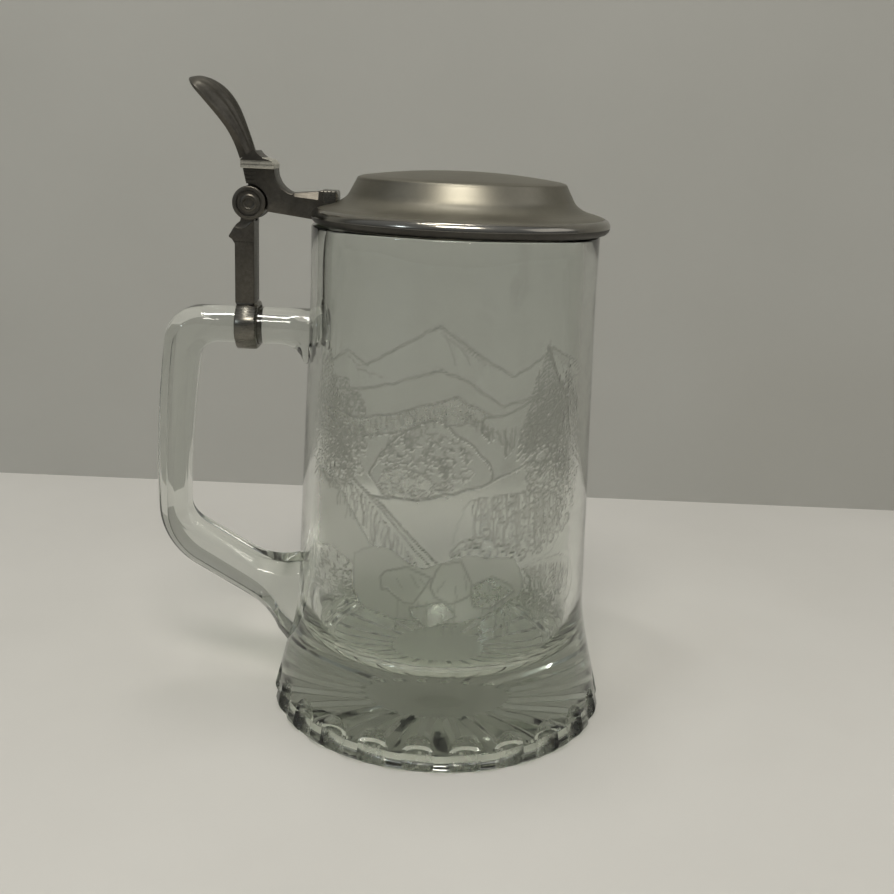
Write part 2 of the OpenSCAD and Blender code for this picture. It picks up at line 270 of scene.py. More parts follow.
class Surface:
    """A material with a Principled shader, and short calls for the nodes used here."""

    def __init__(self, name):
        self.material = bpy.data.materials.new(name)
        self.material.use_nodes = True
        self.tree = self.material.node_tree
        self.tree.nodes.clear()
        self.shader = self.add("ShaderNodeBsdfPrincipled")
        self.output = self.add("ShaderNodeOutputMaterial")
        self.link(self.shader.outputs[0], self.output.inputs["Surface"])
        self.place = self.add("ShaderNodeTexCoord").outputs["Object"]

    def add(self, kind, **settings):
        node = self.tree.nodes.new(kind)
        for key, value in settings.items():
            setattr(node, key, value)
        return node

    def link(self, source, target):
        self.tree.links.new(source, target)

    def put(self, socket, value):
        """Links a socket to a node's output, or sets it to a value or colour."""
        if isinstance(value, bpy.types.NodeSocket):
            self.link(value, socket)
        elif isinstance(value, tuple) and socket.type == "RGBA":
            socket.default_value = (*value, 1.0)
        else:
            socket.default_value = value

    def set(self, **values):
        """Sets the main shader's inputs, with _ for a space."""
        for key, value in values.items():
            self.put(self.shader.inputs[key.replace("_", " ")], value)
        return self

    def node(self, kind, values, output=0, **settings):
        """Adds a node, fills its inputs by their numbers or names, and gives one of its outputs."""
        node = self.add(kind, **settings)
        for number, value in values.items():
            self.put(node.inputs[number], value)
        return node.outputs[output]

    def noise(self, scale, detail=4.0, rough=0.55, stretch=(1, 1, 1), where=None):
        mapping = self.node("ShaderNodeMapping", {"Vector": where or self.place, "Scale": stretch})
        return self.node("ShaderNodeTexNoise", {"Vector": mapping, "Scale": scale, "Detail": detail,
                                                "Roughness": rough})

    def radial(self, x):
        """A place given as distance from the upright axis at x, and height."""
        split = self.add("ShaderNodeSeparateXYZ")
        self.link(self.place, split.inputs[0])
        dx = self.maths("SUBTRACT", split.outputs[0], x * MM)
        square = self.maths("ADD", self.maths("MULTIPLY", dx, dx),
                            self.maths("MULTIPLY", split.outputs[1], split.outputs[1]))
        return self.node("ShaderNodeCombineXYZ", {0: self.maths("SQRT", square), 2: split.outputs[2]})

    def spread(self, value, low, high, to_low=0.0, to_high=1.0):
        """Maps low..high to to_low..to_high."""
        return self.node("ShaderNodeMapRange", {0: value, 1: low, 2: high, 3: to_low, 4: to_high})

    def maths(self, operation, a, b=0.0):
        return self.node("ShaderNodeMath", {0: a, 1: b}, operation=operation)

    def mix(self, factor, a, b):
        """Mixes two colours."""
        return self.node("ShaderNodeMix", {0: factor, 6: a, 7: b}, 2, data_type="RGBA")

    def bump(self, height, distance, strength):
        """Bumps of the given height in mm on the main shader."""
        bumps = {"Height": height, "Distance": distance * MM, "Strength": strength}
        return self.set(Normal=self.node("ShaderNodeBump", bumps))

    def attribute(self, name):
        return self.add("ShaderNodeAttribute", attribute_name=name).outputs["Fac"]

    def clear_where(self, where, colour):
        """Swaps the shader for plain transparency of a colour where the socket says 1."""
        clear = self.node("ShaderNodeBsdfTransparent", {"Color": colour})
        choose = self.node("ShaderNodeMixShader", {0: where, 1: self.shader.outputs[0], 2: clear})
        self.link(choose, self.output.inputs["Surface"])


# ---- glass: shape

# Outer face, from the bottom
RIM_Z = GLASS_HIGH[2]
HEEL_R = GLASS_HIGH[0]
RIM_R = HEEL_R - 10
# The rim is drawn sharper than in the CAD model, because the photo shows no dark band round it
RIM_ROUND = 0.7
WALL_STRAIGHT_Z = 130
WAIST_R, WAIST_Z = 44.8, 36
SWEEP_CORNER = (45.05, 31)
FLARE_TOP_R, FLARE_TOP_Z = 47.2, 22
HEEL_ROUND = 2.2
FLARE_LEAN = math.atan2(HEEL_R - FLARE_TOP_R, FLARE_TOP_Z - HEEL_ROUND)
# Inner face
BORE_R = RIM_R - 4
BORE_LOW_R = 40.1
FLOOR_Z = 21.8
FLOOR_FILLET = 9.5
# Underside
FOOT_R = 43.5
FOOT_HOLLOW = 1.5
# Flutes round the heel, and rays under the base
FLUTES = 24
FLUTE_TURN = -5.0
FLUTE_R = 7.5
FLUTE_DEPTH = 1.6
# The groove is a cylinder that starts level with the heel's rounding, and ends in a ball
FLUTE_LOW_Z = HEEL_ROUND
FLUTE_LENGTH = 5.8
FLUTE_FOOT_Z = 0.32
RAY_HALF_W = 1.8
RAY_DEPTH = 0.8
RAY_START_R, RAY_END_R = 15.0, 42.0
HUB_RADII = (2, 5, 8, 11, 13, 14.4)
# Above this the base has no flutes, and its rings have plain columns
PLAIN_FROM_Z = 15.6
# Half angle of a flute's columns on the foot, where the flute has not begun
FOOT_EDGE = 1.2
# Columns of points: 16 to a flute, of which the inner ten span the flute itself
PER_FLUTE = 16
HALF_FLUTE = PER_FLUTE // 2
EDGE_COLUMN = 5
# Columns of points where there are no flutes or picture: outside, inside and behind the picture
OUTER_COLUMNS, INNER_COLUMNS, REAR_COLUMNS = 192, 144, 80
SECTOR = 360.0 / FLUTES
# The etched picture covers this angle to each side of the front, and these heights
ETCH_SPAN = 76.0
ETCH_LOW_Z, ETCH_HIGH_Z = 36.5, 127.6
# Spacing of its columns in degrees and of its rows in mm
ETCH_STEP = 0.625
ETCH_ROW = 0.55


def outer_r(z):
    """Radius of the outer face at height z, from the foot to the rim's rounding."""
    arc_top = HEEL_ROUND * (1 + math.sin(FLARE_LEAN))
    arc_r = HEEL_R - HEEL_ROUND * (1 - math.cos(FLARE_LEAN))
    if z < arc_top:
        return HEEL_R - HEEL_ROUND + math.sqrt(HEEL_ROUND ** 2 - (HEEL_ROUND - z) ** 2)
    if z <= FLARE_TOP_Z:
        return arc_r + (FLARE_TOP_R - arc_r) * (z - arc_top) / (FLARE_TOP_Z - arc_top)
    if z <= WAIST_Z:
        corner_r, corner_z = SWEEP_CORNER
        a = FLARE_TOP_Z - 2 * corner_z + WAIST_Z
        b = corner_z - FLARE_TOP_Z
        t = (-b + math.sqrt(b * b - a * (FLARE_TOP_Z - z))) / a
        return (1 - t) ** 2 * FLARE_TOP_R + 2 * t * (1 - t) * corner_r + t * t * WAIST_R
    if z <= WALL_STRAIGHT_Z:
        return WAIST_R + (RIM_R - WAIST_R) * (z - WAIST_Z) / (WALL_STRAIGHT_Z - WAIST_Z)
    return RIM_R


def flute_hit(turn, z):
    """Radius at which the flute's cutting shape is met, at an angle from the flute's middle."""
    co, si = math.cos(FLARE_LEAN), math.sin(FLARE_LEAN)
    axis = HEEL_R + FLUTE_R - FLUTE_DEPTH
    rho = axis - (z - FLUTE_LOW_Z) * math.tan(FLARE_LEAN)
    a = math.sin(turn) ** 2 + (math.cos(turn) * co) ** 2
    b = math.cos(turn) * rho * co * co
    c = (rho * co) ** 2 - FLUTE_R ** 2
    best = None
    if b * b > a * c:
        s = (b - math.sqrt(b * b - a * c)) / a
        along = (z - FLUTE_LOW_Z) * co + (axis - s * math.cos(turn)) * si
        if along <= FLUTE_LENGTH:
            best = s
    ball_rho = axis - FLUTE_LENGTH * si
    rise = z - FLUTE_LOW_Z - FLUTE_LENGTH * co
    inside = FLUTE_R ** 2 - rise ** 2 - (math.sin(turn) * ball_rho) ** 2
    if best is None and rise > -1 and inside > 0:
        best = math.cos(turn) * ball_rho - math.sqrt(inside)
    return best


def flute_edge(z):
    """Angle in degrees from the flute's middle to its edge at height z, or none above it."""
    wall = outer_r(z)
    low, high = 0.0, SECTOR / 2
    hit = flute_hit(0, z)
    if hit is None or hit >= wall:
        return None
    for _ in range(30):
        middle = (low + high) / 2
        hit = flute_hit(math.radians(middle), z)
        if hit is not None and hit < wall:
            low = middle
        else:
            high = middle
    return low


def sector_turns(edge):
    """Angles of one flute's columns, with two of them on the edges."""
    inner = [edge * j / EDGE_COLUMN for j in range(EDGE_COLUMN + 1)]
    rest = HALF_FLUTE - EDGE_COLUMN
    outer = [edge + (SECTOR / 2 - edge) * j / rest for j in range(1, rest + 1)]
    half = inner + outer
    return [-a for a in half[:0:-1]] + half[:-1]


class Rings:
    """Rings of points about the upright axis, each stitched to the one before."""

    def __init__(self):
        self.vertices = []
        self.faces = []
        self.last = None

    def add(self, turns, place):
        """Adds points at angles in degrees. place(index) gives each one's radius and height."""
        start = len(self.vertices)
        for i, turn in enumerate(turns):
            r, z = place(i)
            a = math.radians(turn - 90)
            self.vertices.append((r * math.cos(a), r * math.sin(a), z))
        self.stitch(list(range(start, len(self.vertices))), list(turns))

    def even(self, turns, r, z):
        """Adds points that share one radius and height."""
        self.add(turns, lambda i: (r, z))

    def point(self, z):
        """A single point on the axis."""
        self.vertices.append((0, 0, z))
        self.stitch([len(self.vertices) - 1], [0.0])

    def stitch(self, ids, turns):
        """Faces between the last ring and this one, whose point counts may differ."""
        old = self.last
        self.last = (ids, turns)
        if old is None:
            return
        low, low_turns = old
        n, m = len(low), len(ids)
        if n == m and n > 1:
            for i in range(n):
                self.faces.append([low[i], low[(i + 1) % n], ids[(i + 1) % n], ids[i]])
            return
        if n == 1 or m == 1:
            many, hub = (ids, low[0]) if n == 1 else (low, ids[0])
            for i in range(len(many)):
                self.faces.append([hub, many[i], many[(i + 1) % len(many)]])
            return
        i = j = 0
        a = low_turns + [low_turns[0] + 360]
        b = turns + [turns[0] + 360]
        while i < n or j < m:
            if j >= m or (i < n and a[i + 1] <= b[j + 1]):
                self.faces.append([low[i % n], low[(i + 1) % n], ids[j % m]])
                i += 1
            else:
                self.faces.append([low[i % n], ids[(j + 1) % m], ids[j % m]])
                j += 1


def fluted_turns(edge):
    """Angles of every column round the base, from one flute's columns."""
    one = sector_turns(edge)
    return [FLUTE_TURN - 180 + SECTOR * k + a for k in range(FLUTES) for a in one]


def from_flute(index):
    """Column number counted from the middle of its flute."""
    return index % PER_FLUTE - HALF_FLUTE


def underside(rings):
    """The hollow under the base with its rays, and the ring that the glass stands on."""
    rings.point(FOOT_HOLLOW)
    for r in HUB_RADII:
        rings.even(fluted_turns(math.degrees(RAY_HALF_W / RAY_START_R)), r, FOOT_HOLLOW)
    ends = 0.8
    radii = [RAY_START_R, RAY_START_R + ends, *np.arange(17, 41, 1.5), RAY_END_R - ends, RAY_END_R]
    for r in radii:
        edge = math.degrees(RAY_HALF_W / r)
        depth = RAY_DEPTH * min(1, (r - RAY_START_R) / ends, (RAY_END_R - r) / ends)

        def place(i):
            share = max(0, 1 - abs(from_flute(i)) / EDGE_COLUMN)
            return r, FOOT_HOLLOW + depth * share

        rings.add(fluted_turns(edge), place)
    foot = [(FOOT_R - 1, FOOT_HOLLOW), (FOOT_R - 0.2, 0.35), (FOOT_R + 0.25, 0), (46.5, 0), (48.6, 0)]
    foot += [(outer_r(z), z) for z in (0.0, 0.06, 0.18)]
    for k, (r, z) in enumerate(foot):
        edge = FOOT_EDGE + (math.degrees(RAY_HALF_W / RAY_END_R) - FOOT_EDGE) * max(0, 1 - k / 6)
        rings.even(fluted_turns(edge), r, z)


def fluted_wall(rings):
    """The heel, cut by the flutes, up to the smooth flare."""
    top = FLUTE_LOW_Z + FLUTE_LENGTH
    apex = next(z for z in np.arange(top, top + 9, 0.01) if flute_edge(z) is None)
    # Rings are close together where the flutes start and where they end
    heights = [FLUTE_FOOT_Z + h for h in (0.0, 0.03, 0.08, 0.15, 0.25, 0.4, 0.6, 0.9, 1.25, 1.7, 2.1)]
    heights += list(np.arange(3.0, top, 0.75))
    heights += list(apex - (apex - top) * np.linspace(1, 0.01, 16) ** 1.8)
    heights += list(apex + np.array([0.25, 0.7, 1.4, 2.4]))
    last_edge = FOOT_EDGE
    for z in heights:
        wall = outer_r(z)
        edge = flute_edge(z) if z < apex else None
        if edge is not None:
            last_edge = edge
        elif z > apex:
            last_edge += (SECTOR / 2 * EDGE_COLUMN / HALF_FLUTE - last_edge) * 0.45

        def place(i):
            j = from_flute(i)
            if edge is None or abs(j) >= EDGE_COLUMN:
                return wall, z
            hit = flute_hit(math.radians(edge * j / EDGE_COLUMN), z)
            return (wall if hit is None else min(wall, hit)), z

        rings.add(fluted_turns(last_edge), place)


def plain_turns(columns):
    return [-180 + 360.0 * k / columns for k in range(columns)]


def picture_turns():
    """Close columns across the picture, and wide ones behind."""
    front = list(np.arange(-ETCH_SPAN, ETCH_SPAN + 0.01, ETCH_STEP))
    rear = np.linspace(ETCH_SPAN, 360 - ETCH_SPAN, REAR_COLUMNS + 2)[1:-1]
    left = [a - 360 for a in rear if a >= 180]
    right = [a for a in rear if a < 180]
    return left + front + right


def body_mesh():
    """The glass body as one closed skin, outside and inside."""
    rings = Rings()
    underside(rings)
    fluted_wall(rings)
    for z in np.arange(PLAIN_FROM_Z, ETCH_LOW_Z - 0.4, 1.1):
        rings.even(plain_turns(OUTER_COLUMNS), outer_r(z), z)
    for z in np.arange(ETCH_LOW_Z, ETCH_HIGH_Z + 0.01, ETCH_ROW):
        rings.even(picture_turns(), outer_r(z), z)
    upper = [(outer_r(z), z) for z in (128.5, 131, 136, 141)]
    upper += arc(RIM_R - RIM_ROUND, RIM_Z - RIM_ROUND, RIM_ROUND, 0, 90, 6)
    upper += arc(BORE_R + RIM_ROUND, RIM_Z - RIM_ROUND, RIM_ROUND, 90, 180, 6)
    for r, z in upper:
        rings.even(plain_turns(OUTER_COLUMNS), r, z)
    low_z = FLOOR_Z + FLOOR_FILLET
    inner = [(BORE_R, z) for z in (140, WALL_STRAIGHT_Z)]
    inner += [(BORE_R + (BORE_LOW_R - BORE_R) * t, WALL_STRAIGHT_Z + (low_z - WALL_STRAIGHT_Z) * t)
              for t in np.linspace(0, 1, 13)[1:-1]]
    inner += arc(BORE_LOW_R - FLOOR_FILLET, low_z, FLOOR_FILLET, 0, -90, 16)
    inner += [(r, FLOOR_Z) for r in (26, 20, 13, 6)]
    for r, z in inner:
        rings.even(plain_turns(INNER_COLUMNS), r, z)
    rings.point(FLOOR_Z)
    return outward(new_object("stein_glass", rings.vertices, rings.faces))


# Handle: two outlines seen from the front, with the section between them
BAR_Z = 117.5
GRIP_T, GRIP_W, GRIP_CHAMFER = 10.5, 13.4, 3.4
# How far the octagon's corners are eased, on the bar and on the legs
BAR_SOFT, LEG_SOFT = 1.45, 0.55
# Above LEG_TOP_Z, the easing changes over a length of LEG_BLEND from LEG_X on
LEG_X, LEG_BLEND, LEG_TOP_Z = -72, 4, 100
# How much the two roots widen on each side, and over how many rings
TOP_ROOT_W, TOP_ROOT_RINGS = 0.5, 6
LOW_ROOT_W, LOW_ROOT_RINGS = 1.6, 12
# Slope of the lower bar in degrees, and where it starts to flare
LOW_SLOPE, LOW_ROOT_X = 30.2, -60


def grip_side(start, radii, turns, flare_r, flare_turn):
    """One side of the grip: corner, leg and knee as arcs, then straight on, and a flare to the base."""
    low_turn = 270 - LOW_SLOPE
    turns = (90, *turns, low_turn)
    line = [start]
    for r, a0, a1 in zip(radii, turns, turns[1:]):
        line += arc_from(line[-1], r, a0, a1, 14)[1:]
    fall = (LOW_ROOT_X - line[-1][0]) * math.tan(math.radians(LOW_SLOPE))
    return line + arc_from([LOW_ROOT_X, line[-1][1] - fall], flare_r, low_turn, low_turn + flare_turn, 10)


def handle_outlines():
    """Inner and outer outlines, from the upper root round to the lower one."""
    top, low = BAR_Z + GRIP_T / 2, BAR_Z - GRIP_T / 2
    root = arc(-50.5, low - 7, 7, 15, 90, 8)
    bar = [-54, -58, -62, -66, -69]
    inner = [[-38, low - 7]] + root + [[x, low] for x in bar]
    inner += grip_side([-69.4, low], (6.4, 340, 7), (171.8, 179.4), 20, 45) + [[-38, 44]]
    outer = [[x, top] for x in [-38] + [q[0] for q in root] + bar]
    outer += grip_side([-74.3, top], (11.2, 310, 22.3), (172.1, 181.9), -22, -36) + [[-42, 10]]
    return np.array(inner), np.array(outer)


def soft_octagon(t, w, c, soft=BAR_SOFT):
    """An octagon of thickness t, half width w and chamfer c, with its corners eased."""
    half = [(t, w - c), (t - c, w), (c, w), (0, w - c)]
    corners = np.array(half + [(x, -y) for x, y in half[::-1]])
    out = []
    for i, p in enumerate(corners):
        to_last = corners[i - 1] - p
        to_next = corners[(i + 1) % 8] - p
        a = p + to_last / np.linalg.norm(to_last) * soft
        b = p + to_next / np.linalg.norm(to_next) * soft
        out += [(1 - s) ** 2 * a + 2 * s * (1 - s) * p + s * s * b for s in (0, 0.33, 0.67, 1)]
    return out


def handle_mesh():
    """The glass handle, wider at both roots, and cut off inside the wall it joins."""
    inner, outer = handle_outlines()
    count = len(inner)
    rings = []
    for i, (p, q) in enumerate(zip(inner, outer)):
        spread_w = TOP_ROOT_W * max(0, 1 - i / TOP_ROOT_RINGS)
        spread_w += LOW_ROOT_W * max(0, 1 - (count - 1 - i) / LOW_ROOT_RINGS) ** 2
        u = (q - p) / np.linalg.norm(q - p)
        on_leg = min(1, max(0, (LEG_X - (p[0] + q[0]) / 2) / LEG_BLEND)) if q[1] > LEG_TOP_Z else 1
        soft = BAR_SOFT + (LEG_SOFT - BAR_SOFT) * on_leg
        ring = soft_octagon(np.linalg.norm(q - p), GRIP_W / 2 + spread_w, GRIP_CHAMFER, soft)
        rings.append([(p[0] + u[0] * t, y, p[1] + u[1] * t) for t, y in ring])
    handle = sweep("handle", rings)
    between = (RIM_R + BORE_R) / 2 + 0.5
    trim = lathe("trim", [(0, -5), (between, -5), (between, 160), (0, 160)], 192)
    return cut(handle, trim)


def stein_glass():
    glass = join(body_mesh(), handle_mesh())
    return crease(glass, 26)


# ---- lid, arm and thumblift

# The lid sits on the rim, and its box starts at the foot of the CAD model's locating ring
CAD_RING_H = 3.0
SEAT_Z = LID_LOW[2] + CAD_RING_H
LID_X = (LID_LOW[0] + LID_HIGH[0]) / 2
BRIM_R = (LID_HIGH[0] - LID_LOW[0]) / 2
BRIM_ROLL = 2.2
# The flank between brim and crown, as radius and height above the seat
FLANK = [(40.2, 4.9), (37.9, 5.5), (36.1, 6.1), (34.6, 6.9), (33.4, 7.8), (32.6, 8.8), (31.8, 10.3)]
CROWN_R, CROWN_ROUND = 30.4, 0.8
CROWN_EDGE_Z = SEAT_Z + 13.6
CROWN_RISE = 2.4
RING_R, RING_T = BORE_R - LID_X - 0.7, 1.6
# The locating ring is drawn shorter than in the CAD model, because none shows through the glass
RING_DROP = 1.1
LID_T = 1.7
# The polished brim by height over the seat and by width, and the height of the brim's lower face below it,
# which is painted darker as painted shade
BRIGHT_H, BRIGHT_W = 4.4, 4
BRIM_SHADE_H = 1.9


def lid_outer_profile():
    """Outer face from the brim's lower edge to the top of the crown."""
    brim = arc(BRIM_R - BRIM_ROLL, SEAT_Z + BRIM_ROLL, BRIM_ROLL, -60, 70, 14)
    crown = arc(CROWN_R - CROWN_ROUND, CROWN_EDGE_Z - CROWN_ROUND, CROWN_ROUND, 15, 75, 8)
    cone = [brim[-1]] + [(r, SEAT_Z + h) for r, h in FLANK] + [crown[0]]
    top_r = CROWN_R - CROWN_ROUND - 1
    dome = [(top_r * (1 - t), LID_HIGH[2] - CROWN_RISE * (top_r * (1 - t) / CROWN_R) ** 2)
            for t in np.linspace(0, 1, 20)]
    start = [(BRIM_R - BRIM_ROLL + 0.3, SEAT_Z)]
    return start + brim + smooth_line(cone, 6)[1:-1] + crown + dome[:-1] + [(0, LID_HIGH[2])]


def lid_mesh():
    """The lid in one skin, with its hollow crown and the ring that locates it in the glass."""
    low_z = SEAT_Z - RING_DROP
    inside = [[0, LID_HIGH[2] - LID_T], [14, LID_HIGH[2] - 0.5 - LID_T], [28, CROWN_EDGE_Z - 0.4 - LID_T],
              [29.4, SEAT_Z + 9.5], [31, SEAT_Z + 7.2], [33, SEAT_Z + 5.2], [RING_R - RING_T, SEAT_Z + 2.4]]
    inside = [(max(0, r), z) for r, z in smooth_line(inside, 6)]
    ring = [(RING_R - RING_T, low_z + 0.2), (RING_R - RING_T + 0.2, low_z), (RING_R - 0.4, low_z),
            (RING_R, low_z + 0.4), (RING_R, SEAT_Z - 0.2), (RING_R + 0.2, SEAT_Z)]
    profile = inside + ring + lid_outer_profile()
    return crease(lathe("lid_shell", profile, 224, (LID_X, 0)), 35)


# Hinge: the knuckles, the arm's one between the post's two, and the pin
HINGE_W = POST_HIGH[1] - POST_LOW[1]
MID_W = 3.6
KNUCKLE_R = 4.85
NOTCH_R = KNUCKLE_R + 0.6
KNUCKLE_GAP = 0.15
PIN_R = 1.5
# Arm: the neck under the thumblift with its grooves, and the tab on the lid with its ridges
NECK_LEFT, NECK_RIGHT, NECK_TOP = -61.4, -52.4, 163.1
NECK_FILLET = 7
NECK_GROOVES = (158.0, 159.1, 160.2, 161.3, 162.3)
TAB_START, TAB_END, TAB_LOW_Z = -39.3, ARM_HIGH[0], 149.5
TAB_RIDGES = (-38.2, -37.1, -36.0, -34.9)
# From this x on, the arm's end tab is painted a lighter pewter: a painted highlight where the tab catches the
# light.
TAB_SHEEN_FROM_X = -39.5
SHANK_TOP_Z = 157.3


def arm_mesh():
    """The arm from the hinge to the lid, with its end tab and grooved neck."""
    outline = [(HINGE_X - 0.5, HINGE_Z + KNUCKLE_R - 1.2), (NECK_LEFT, NECK_TOP), (NECK_RIGHT, NECK_TOP)]
    outline += arc(NECK_RIGHT + NECK_FILLET, NECK_TOP, NECK_FILLET, 180, 250, 14)
    outline += [(TAB_START - 0.6, SHANK_TOP_Z - 0.05), (TAB_START, SHANK_TOP_Z + 0.4),
                (TAB_END - 0.5, SHANK_TOP_Z + 0.4), (TAB_END, SHANK_TOP_Z - 0.1), (TAB_END, TAB_LOW_Z),
                (-41.5, TAB_LOW_Z), (HINGE_X + KNUCKLE_R, 151.2)]
    arm = bevel(plate("lid_arm_cast", outline, ARM_HIGH[1] - ARM_LOW[1]), 0.5)
    join(arm, drum("knuckle", KNUCKLE_R - KNUCKLE_GAP, MID_W))
    for side in (-1, 1):
        cut(arm, drum("notch", NOTCH_R, HINGE_W, side * (HINGE_W + MID_W) / 2))
        face = side * ARM_HIGH[1]
        for z in NECK_GROOVES:
            groove = [(-62.4, z - 0.25), (-57.6, z - 0.4), (-57.6, z), (-62.4, z + 0.25)]
            cut(arm, plate("groove", groove, 0.8, face))
        ends = [(-49.2, 0.1), (-46.5, 1.6), (-39.8, 2.0), (-39.5, 0.1)]
        cut(arm, sweep("leaf", [[(x, face * 1.02, 157.9 - 1.5 * deep), (x, face * 1.02, 159),
                                 (x, face - side * (0.2 + 1.1 * deep), 159)] for x, deep in ends]))
        for x in TAB_RIDGES:
            cut(arm, plate("ridge", oblong(x - 0.22, x + 0.22, 153.4, 158), 0.6, face))
    cut(arm, drum("pin_hole", PIN_R + 0.05, 20, columns=48))
    lid_outer = lid_outer_profile()
    cut(arm, lathe("lid_cut", [(0, 140), (RING_R, 140), (RING_R, SEAT_Z)] + lid_outer, 224, (LID_X, 0)))
    return crease(arm, 30)


SPINE = np.array([[-60, 164.6], [-62.4, 172.2], [-66.6, 184.2], [-77, 186.9]])
THUMB_W, THUMB_BASE_W, THUMB_T = THUMB_HIGH[1] - THUMB_LOW[1], 8.4, 2.2
RIBS = 7
# Share of the full width, arch height and share of the full thickness along the thumblift
WIDTHS = [[0, 0], [0.2, 0.06], [0.4, 0.4], [0.6, 0.84], [0.75, 1], [0.86, 0.96], [0.94, 0.74],
          [0.98, 0.45], [1, 0.1]]
ARCHES = [[0, 2.1], [0.3, 2.9], [0.55, 4.7], [0.72, 4.85], [0.9, 3.0], [1, 0.3]]
THICKS = [[0, 1.3], [0.4, 1], [0.8, 0.8], [1, 0.3]]
# The base under the shell narrows from here to the tip
TIP_START = 0.86
RIB_DEPTH = 0.34
COLLAR = [(-62, 163.2), (-61.9, 163.1), (-52.5, 163.1), (-52.4, 163.2), (-52.4, 164.4), (-53.2, 165.45),
          (-55.7, 166.15), (-56.9, 167.05), (-57.8, 168.1), (-61.4, 166), (-62, 165.4)]
COLLAR_W = 11
# Below this height the collar is painted a lighter, less metallic pewter: a painted highlight where its
# reeded face catches the key light.
COLLAR_SHEEN_TO_Z = 165.9


def spine_at(t):
    """Point of the thumblift's middle curve, from the collar at 0 to the tip at 1."""
    s = 1 - t
    return s ** 3 * SPINE[0] + 3 * t * s * s * SPINE[1] + 3 * t * t * s * SPINE[2] + t ** 3 * SPINE[3]


def eased(t, table):
    """Value at t of a smooth line through a table of (t, value)."""
    line = np.array(smooth_line(table, 8))
    return float(np.interp(t, line[:, 0], line[:, 1]))


def shell_ring(t):
    """One ring of the thumblift: a ribbed arch towards the lid, and a hollow face behind."""
    middle = spine_at(t)
    ahead = spine_at(t + 0.005) - spine_at(t - 0.005)
    ahead /= np.linalg.norm(ahead)
    normal = np.array([ahead[1], -ahead[0]])
    base = 1 - 0.75 * (max(0, t - TIP_START) / (1 - TIP_START)) ** 2
    half_w = min(1.0, eased(t, WIDTHS)) * (THUMB_W - THUMB_BASE_W) / 2 + base * THUMB_BASE_W / 2
    half_w = min(half_w, THUMB_W / 2)
    arch, thick = eased(t, ARCHES), THUMB_T * eased(t, THICKS)
    rib = RIB_DEPTH * math.sin(math.pi * min(1, max(0, (t - 0.12) / 0.8))) ** 0.6
    ring = []
    for s in np.linspace(-1, 1, 43):
        q = (arch + thick) / 2 - arch * s * s - rib * (0.5 - 0.5 * math.cos(RIBS * math.pi * s + math.pi))
        x, z = middle + normal * q
        ring.append((x, half_w * s, z))
    for s in np.linspace(1, -1, 31):
        q = (arch + thick) / 2 - thick - 0.9 * (arch - 0.4) * s * s
        x, z = middle + normal * q
        ring.append((x, 0.94 * half_w * s, z))
    return ring


def thumblift_mesh():
    """The ribbed shell on its reeded collar."""
    shell = bevel(sweep("thumblift_cast", [shell_ring(t) for t in np.linspace(0, 1, 70)]), 0.12, 2, 50)
    collar = bevel(plate("collar", COLLAR, COLLAR_W), 0.85, 5)
    for side in (-1, 1):
        for z in (164.15, 165.1):
            cut(collar, plate("reed", oblong(-64, -51, z - 0.2, z + 0.2), 0.7, side * COLLAR_W / 2))
    join(shell, collar)
    return crease(shell, 34)


# ---- hinge, post and band

CAP_R = 2.6
# The post's middle, and its width across the front and from front to rear
POST_X, POST_W, POST_DEEP = -61.1, 5.6, 9
LINER_T = 0.4
BAND_T = 1.25


def post_mesh():
    """The post with its stop spur and the two outer knuckles of the hinge."""
    left, right, low = POST_X - POST_W / 2, POST_X + POST_W / 2, POST_LOW[2]
    high = HINGE_Z - KNUCKLE_R / 2
    outline = [(left, low), (right, low), (right, high), (HINGE_X - 2.4, high), (-62.3, 148.2),
               (-63.4, 147.3), (-64.3, 146.1), (-65.7, 143.75), (-65.5, 143.4), (-64.7, 142.9), (left, 141.6)]
    post = bevel(plate("hinge_post_cast", outline, POST_DEEP), 0.6)
    scoop = arc(-62.4, 149.4, 3.4, 200, 300, 12) + [(-56, 150.5), (-66, 151)]
    step = oblong(-67, -57, 142.1, 142.45)
    for side in (-1, 1):
        cut(post, bevel(plate("scoop", scoop, 0.9, side * POST_DEEP / 2), 0.3, 2))
        cut(post, plate("step", step, 0.35, side * POST_DEEP / 2))
    for side in (-1, 1):
        width = (HINGE_W - MID_W) / 2 - KNUCKLE_GAP
        knuckle = drum("knuckle", KNUCKLE_R, width, side * (HINGE_W - width) / 2)
        join(post, bevel(knuckle, 0.45, 3))
    cut(post, drum("slot", NOTCH_R, MID_W + 2 * KNUCKLE_GAP))
    cut(post, drum("pin_hole", PIN_R, 20, columns=48))
    for side in (-1, 1):
        cut(post, drum("cap_hole", CAP_R, 2, side * HINGE_W / 2))
        groove = lathe("ring_groove", [(3.2, -0.3), (3.2, 1), (3.7, 1), (3.7, -0.3)], 96)
        turn_to_y(groove, side)
        cut(post, groove)
    return crease(post, 30)


def turn_to_y(obj, side):
    """Moves an upright turned shape onto the end of the hinge, facing the front or the rear."""
    places = places_of(obj.data.vertices, "co")
    end = HINGE_W / 2
    moved = np.stack([HINGE_X + places[:, 0], side * (end - 0.35 + places[:, 2]), HINGE_Z + places[:, 1]], 1)
    obj.data.vertices.foreach_set("co", (moved * MM).ravel())
    outward(obj)


def cap_mesh(name, side):
    """A turned cap: a raised rim round a sunk middle with a small boss."""
    profile = [(0, -0.65), (CAP_R, -0.65), (CAP_R, 0.35), (CAP_R - 0.12, 0.47), (2.2, 0.6), (2.1, 0.65)]
    profile += [(1.62, 0.65), (1.5, 0.6), (1.3, 0.37), (0.9, 0.35), (0.75, 0.36), (0.4, 0.45), (0, 0.48)]
    cap = lathe(name, profile, 64)
    turn_to_y(cap, side)
    return crease(cap, 35)


